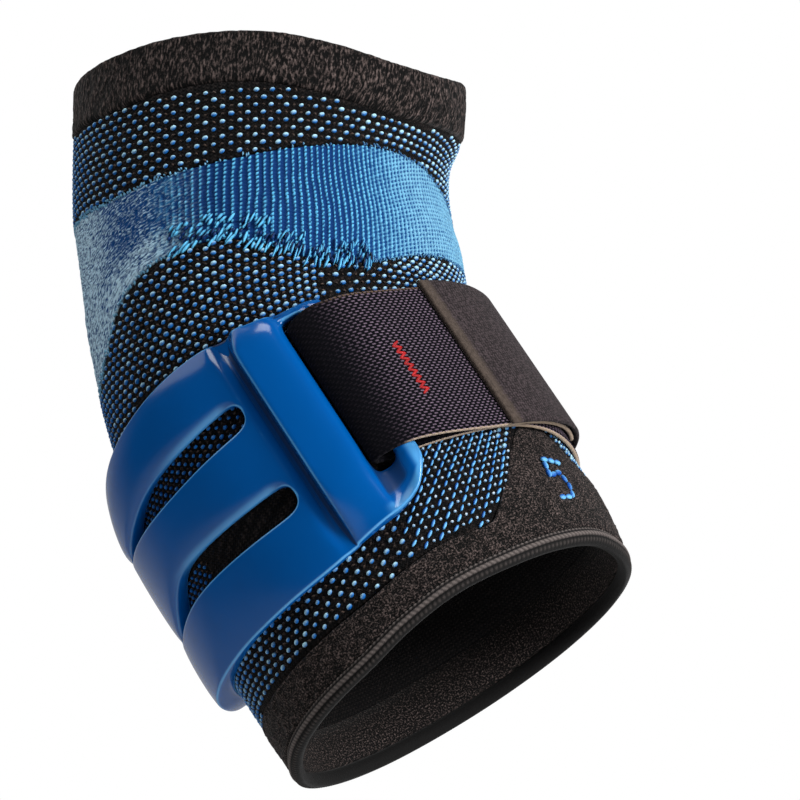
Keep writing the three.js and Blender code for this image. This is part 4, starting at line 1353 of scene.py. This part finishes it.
class ELBOW_OT_plate(bpy.types.Operator):
    """Moulds the pressure plate with its slots, groove, raised bar and strap rail"""
    bl_idname = "elbow.plate"
    bl_label = "Pressure plate"

    # Angles in degrees and lengths in millimetres
    slots = (
        # middle, drift to the back, drop of the tip, half width, angle where the taper starts
        (20.7, 0.4, 1.5, 3.4, -132.0),
        (44.7, -1.9, 4.4, 3.7, -148.0),
    )
    slot_start = -175.0
    slot_end = -102.0
    slot_tip = 0.7
    lip = 2.0
    lip_fall = 1.2
    bevel = 5.2
    bevel_fall = 1.7
    finger_shares = (0.38, 0.74)
    pocket_start = -81.6
    pocket_end = -74.6
    pocket_top = 7.8
    pocket_bottom = 51.8
    pocket_floor = 5.0
    ledge = 3.3
    corner_columns = (-95.3, -92.6)
    corner_shift = 2.6
    # The lip above a slot, painted paler as painted highlight: angles from the taper's start and from the
    # slot's end over which it starts and ends, and distances above the slot over which it starts and ends
    lip_starts = (-14, 12)
    lip_ends = (-6.5, -1.0)
    lip_inner = (-0.6, 0.3)
    lip_outer = (0.3, 2.4)
    # The rim, painted paler as painted highlight: angles over which it starts below the strap, and how far
    # it reaches from the bottom edge; angles and stations over which it starts beside the strap; and its
    # least lift
    rim_below = (-86, -81)
    rim_reach = (2.0, 3.8)
    rim_beside = (-73.6, -71.4)
    rim_under = (42, 50)
    rim_lift = 2.9
    # The dished floor, painted dark as painted shade: angles over which it starts and ends, and stations
    # and distances from the bottom edge over which it starts
    dish_starts = (-82.6, -81.4)
    dish_ends = (-76.5, -73.6)
    dish_under = (40, 48)
    dish_inset = (3.4, 5.6)

    def execute(self, context):
        brace = context.scene.elbow_brace
        wide, tall = len(PLATE.key) - 1, PLATE_ROWS - 1
        deselect()
        bpy.ops.mesh.primitive_grid_add(x_subdivisions=wide, y_subdivisions=tall, size=1.0)
        plate = context.object
        plate.name = plate.data.name = "plate"
        bpy.ops.object.mode_set(mode="EDIT")
        cage = bmesh.from_edit_mesh(plate.data)
        cage.faces.ensure_lookup_table()
        cells = {v: (round((v.co.x + 0.5) * wide), round((v.co.y + 0.5) * tall)) for v in cage.verts}
        for face in cage.faces:
            i, j = (min(cells[v][way] for v in face.verts) for way in (0, 1))
            face.select_set(self.is_open(i, j))
        for v, (i, j) in cells.items():
            v.co = self.cage_point(i, j)
        bmesh.update_edit_mesh(plate.data)
        bpy.ops.mesh.delete(type="FACE")
        bpy.ops.mesh.select_all(action="SELECT")
        bpy.ops.mesh.inset(thickness=brace.plate_edge, use_boundary=True, use_even_offset=True)
        bpy.ops.mesh.select_all(action="SELECT")
        bpy.ops.mesh.extrude_region_move(TRANSFORM_OT_translate={"value": (0, 0, -2.0 * MM)})
        cage = bmesh.from_edit_mesh(plate.data)
        for v in cage.verts:
            if v.select:
                v.co.z = float(PLATE.read("under", v.co.x / metres_per_degree()))
        bmesh.update_edit_mesh(plate.data)
        self.turn_outwards()
        smooth = plate.modifiers.new("smooth", "SUBSURF")
        smooth.levels = smooth.render_levels = 3
        bpy.ops.object.modifier_apply(modifier=smooth.name)
        flat = read_all(plate.data.vertices, "co", 3)
        angle, along, lift = flat[:, 0] / metres_per_degree(), flat[:, 1], flat[:, 2]
        bent = forearm_point(along, angle, lift)
        plate.data.vertices.foreach_set("co", bent.ravel())
        plate.data.update()
        bpy.ops.object.mode_set(mode="EDIT")
        self.turn_outwards()
        bpy.ops.object.shade_smooth()
        plate.data.materials.append(moulded_plastic())
        along, lift = along / MM, lift / MM
        # Painted highlight on the slot lips and the rim, and painted shade in the dish below the strap
        painted_highlight = np.maximum(self.lips(angle, along) * 0.8, self.rim(angle, along, lift) * 0.7)
        self.paint_wear_and_light(plate.data, bent, painted_highlight, self.dish(angle, along))
        settle(plate, "pressure_plate")
        return {"FINISHED"}

    def turn_outwards(self):
        """Turns all faces of the mesh in edit mode outwards, and leaves that mode."""
        bpy.ops.mesh.select_all(action="SELECT")
        bpy.ops.mesh.normals_make_consistent(inside=False)
        bpy.ops.object.mode_set(mode="OBJECT")

    def lips(self, angle, along):
        """How far each point of the flat plate lies on the lips above the slots, painted paler as painted
        highlight.
        """
        share = np.zeros(len(angle))
        for slot in self.slots:
            edges = [self.slot_edges(slot, key)[0] for key in PLATE.key]
            above = np.interp(angle, PLATE.key, edges) - along
            seen = smooth_rise(angle - slot[-1], *self.lip_starts)
            seen *= smooth_fall(angle - self.slot_end, *self.lip_ends)
            share += seen * smooth_rise(above, *self.lip_inner) * smooth_fall(above, *self.lip_outer)
        return share

    def rim(self, angle, along, lift):
        """How far each point of the flat plate lies on the painted highlight of the rim round the strap's
        lower corner.
        """
        from_bottom = PLATE.read("bottom", angle) / MM - along
        below = smooth_rise(angle, *self.rim_below) * smooth_fall(from_bottom, *self.rim_reach)
        beside = smooth_rise(angle, *self.rim_beside) * smooth_rise(along, *self.rim_under)
        return np.maximum(below, beside) * (lift > self.rim_lift)

    def dish(self, angle, along):
        """How far each point of the flat plate lies on the dished floor below the strap, painted dark as
        painted shade.
        """
        from_bottom = PLATE.read("bottom", angle) / MM - along
        round_way = smooth_rise(angle, *self.dish_starts) * smooth_fall(angle, *self.dish_ends)
        return round_way * smooth_rise(along, *self.dish_under) * smooth_rise(from_bottom, *self.dish_inset)

    def paint_wear_and_light(self, mesh, points, painted_highlight, dark):
        """Keeps how sharply the surface turns at each point: above 0 on edges, where worn and as painted
        highlight, and where a painted highlight is given; below 0 in hollows and where it is dark, both as
        painted shade."""
        ends = read_all(mesh.edges, "vertices", 2, int)
        normals = read_all(mesh.vertices, "normal", 3)
        way = points[ends[:, 1]] - points[ends[:, 0]]
        lean = (normals[ends[:, 1]] - normals[ends[:, 0]]) / np.sum(way * way, axis=1, keepdims=True)
        turn = np.sum(lean * way, axis=1)
        total, count = np.zeros(len(points)), np.zeros(len(points))
        for side in (0, 1):
            np.add.at(total, ends[:, side], turn)
            np.add.at(count, ends[:, side], 1)
        bend = total / count * MM
        painted_hollow_shade = np.maximum(smooth_rise(-bend, 0.03, 0.3), dark)
        wear_and_painted_light = np.maximum(smooth_rise(bend, 0.1, 0.9), painted_highlight) - painted_hollow_shade
        layer = mesh.attributes.new(WEAR_AND_PAINTED_LIGHT, "FLOAT", "POINT")
        layer.data.foreach_set("value", wear_and_painted_light.astype(np.float32))

    def is_open(self, i, j):
        """Whether a cell of the cage is left open for a slot or for the strap's pocket."""
        start, end = PLATE.key[i], PLATE.key[i + 1]
        in_slot = start >= self.slot_start and end <= self.slot_end and j in SLOT_ROWS
        in_pocket = start >= self.pocket_start and end <= self.pocket_end and j in POCKET_ROWS
        return bool(in_slot or in_pocket)

    def slot_edges(self, slot, angle):
        """The upper and lower edge of a slot at an angle, narrow at its round end and its tip."""
        middle, drift, drop, half, taper_from = slot
        taper = smooth_rise(-angle, -taper_from, -self.slot_start)
        from_end = self.slot_end - angle
        narrow = 0.55 if from_end < 1 else 0.9 if from_end < 3 else 1.0
        width = (half + (self.slot_tip - half) * taper) * narrow
        centre = middle + drift * smooth_rise(-angle, -self.slot_end, -taper_from) + drop * taper
        return centre - width, centre + width

    def cage_point(self, i, j):
        """A point of the flat cage: round the arm, along it, and its lift."""
        angle = PLATE.key[i]
        top, bottom, _, over, crease, slope, foot = PLATE.values[i] / MM
        slot_a, slot_b = (self.slot_edges(slot, angle) for slot in self.slots)
        fall = 0.0
        if angle <= self.slot_end:
            fall = self.lip_fall * smooth_rise(self.slot_end - angle, -1, 5)
            lower = [slot_b[1] + (bottom - slot_b[1]) * share for share in self.finger_shares]
            upper = [top, top + self.bevel, slot_a[0] - self.lip, *slot_a, slot_b[0] - self.lip, *slot_b]
            along = [*upper, *lower, bottom]
        else:
            pocket_bottom = min(self.pocket_bottom, bottom - self.pocket_floor)
            rows = np.linspace(self.pocket_top, pocket_bottom, len(POCKET_ROWS) + 1)
            along = [top, *rows, max(bottom - self.ledge, (pocket_bottom + bottom) / 2), bottom]
        lift = [
            over - self.bevel_fall, over, over, over - fall, over, over, over - fall, over,
            crease, slope, foot,
        ]
        if j == 0 and self.corner_columns[0] <= angle <= self.corner_columns[1]:
            angle += self.corner_shift
        return Vector((angle * metres_per_degree(), along[j] * MM, lift[j] * MM))


class ELBOW_OT_strap(bpy.types.Operator):
    """Makes the elastic strap and its hook tab"""
    bl_idname = "elbow.strap"
    bl_label = "Strap and tab"

    strap_steps = 380
    tab_steps = 130
    # The tack's place on the forearm in millimetres and degrees, and the lift of the strap there
    tack_stitches = 17
    tack_span = (26.5, 40.5)
    tack_angle = -60.0
    tack_slant = 24.0
    tack_lift = 6.25 * MM

    def execute(self, context):
        brace = context.scene.elbow_brace
        size = (brace.strap_width, brace.strap_thickness, self.strap_steps)
        strap, run = band("strap_band", STRAP_ROUTE, *size, woven_strap())
        settle(strap, "strap")
        size = (brace.tab_width, brace.tab_thickness, self.tab_steps)
        tab, run = band("tab_band", TAB_ROUTE, *size, hook_tape())
        settle(tab, "strap_tab")
        self.bar_tack(context)
        return {"FINISHED"}

    def bar_tack(self, context):
        """A short bar of zigzag stitches across the strap."""
        shades = context.scene.elbow_colours
        along = np.linspace(*self.tack_span, self.tack_stitches) * MM
        spots = along, np.full(self.tack_stitches, self.tack_angle)
        slant = np.where(np.arange(self.tack_stitches) % 2, self.tack_slant, -self.tack_slant)
        sizes = (1.5 * MM, 0.42 * MM, 0.3 * MM, slant)
        yarn = dyed_yarn("tack_yarn", shades.tack_shade, shades.tack)
        stitch_piece("bar_tack", spots, sizes, yarn, 8, forearm_point, self.tack_lift)


class ELBOW_PT_panel(bpy.types.Panel):
    """Lists the steps that build the elbow support"""
    bl_idname = "ELBOW_PT_panel"
    bl_label = "Elbow support"
    bl_space_type = "VIEW_3D"
    bl_region_type = "UI"
    bl_category = "Elbow support"

    def draw(self, context):
        for step in STEPS:
            self.layout.operator(step.bl_idname)


STEPS = (
    ELBOW_OT_stage,
    ELBOW_OT_knit,
    ELBOW_OT_cuffs,
    ELBOW_OT_stitches,
    ELBOW_OT_plate,
    ELBOW_OT_strap,
)
SETTINGS = {
    "elbow_sleeve": ElbowSleeveSettings,
    "elbow_brace": ElbowBraceSettings,
    "elbow_colours": ElbowColourSettings,
    "elbow_stage": ElbowStageSettings,
}


def register():
    for group in SETTINGS.values():
        bpy.utils.register_class(group)
    for name, group in SETTINGS.items():
        setattr(bpy.types.Scene, name, PointerProperty(type=group))
    for step in (*STEPS, ELBOW_PT_panel):
        bpy.utils.register_class(step)


def unregister():
    for step in (ELBOW_PT_panel, *reversed(STEPS)):
        bpy.utils.unregister_class(step)
    for name, group in SETTINGS.items():
        delattr(bpy.types.Scene, name)
        bpy.utils.unregister_class(group)


def main():
    register()
    bpy.ops.elbow.stage()
    bpy.ops.elbow.knit()
    bpy.ops.elbow.cuffs()
    bpy.ops.elbow.stitches()
    bpy.ops.elbow.plate()
    bpy.ops.elbow.strap()


if __name__ == "__main__":
    main()
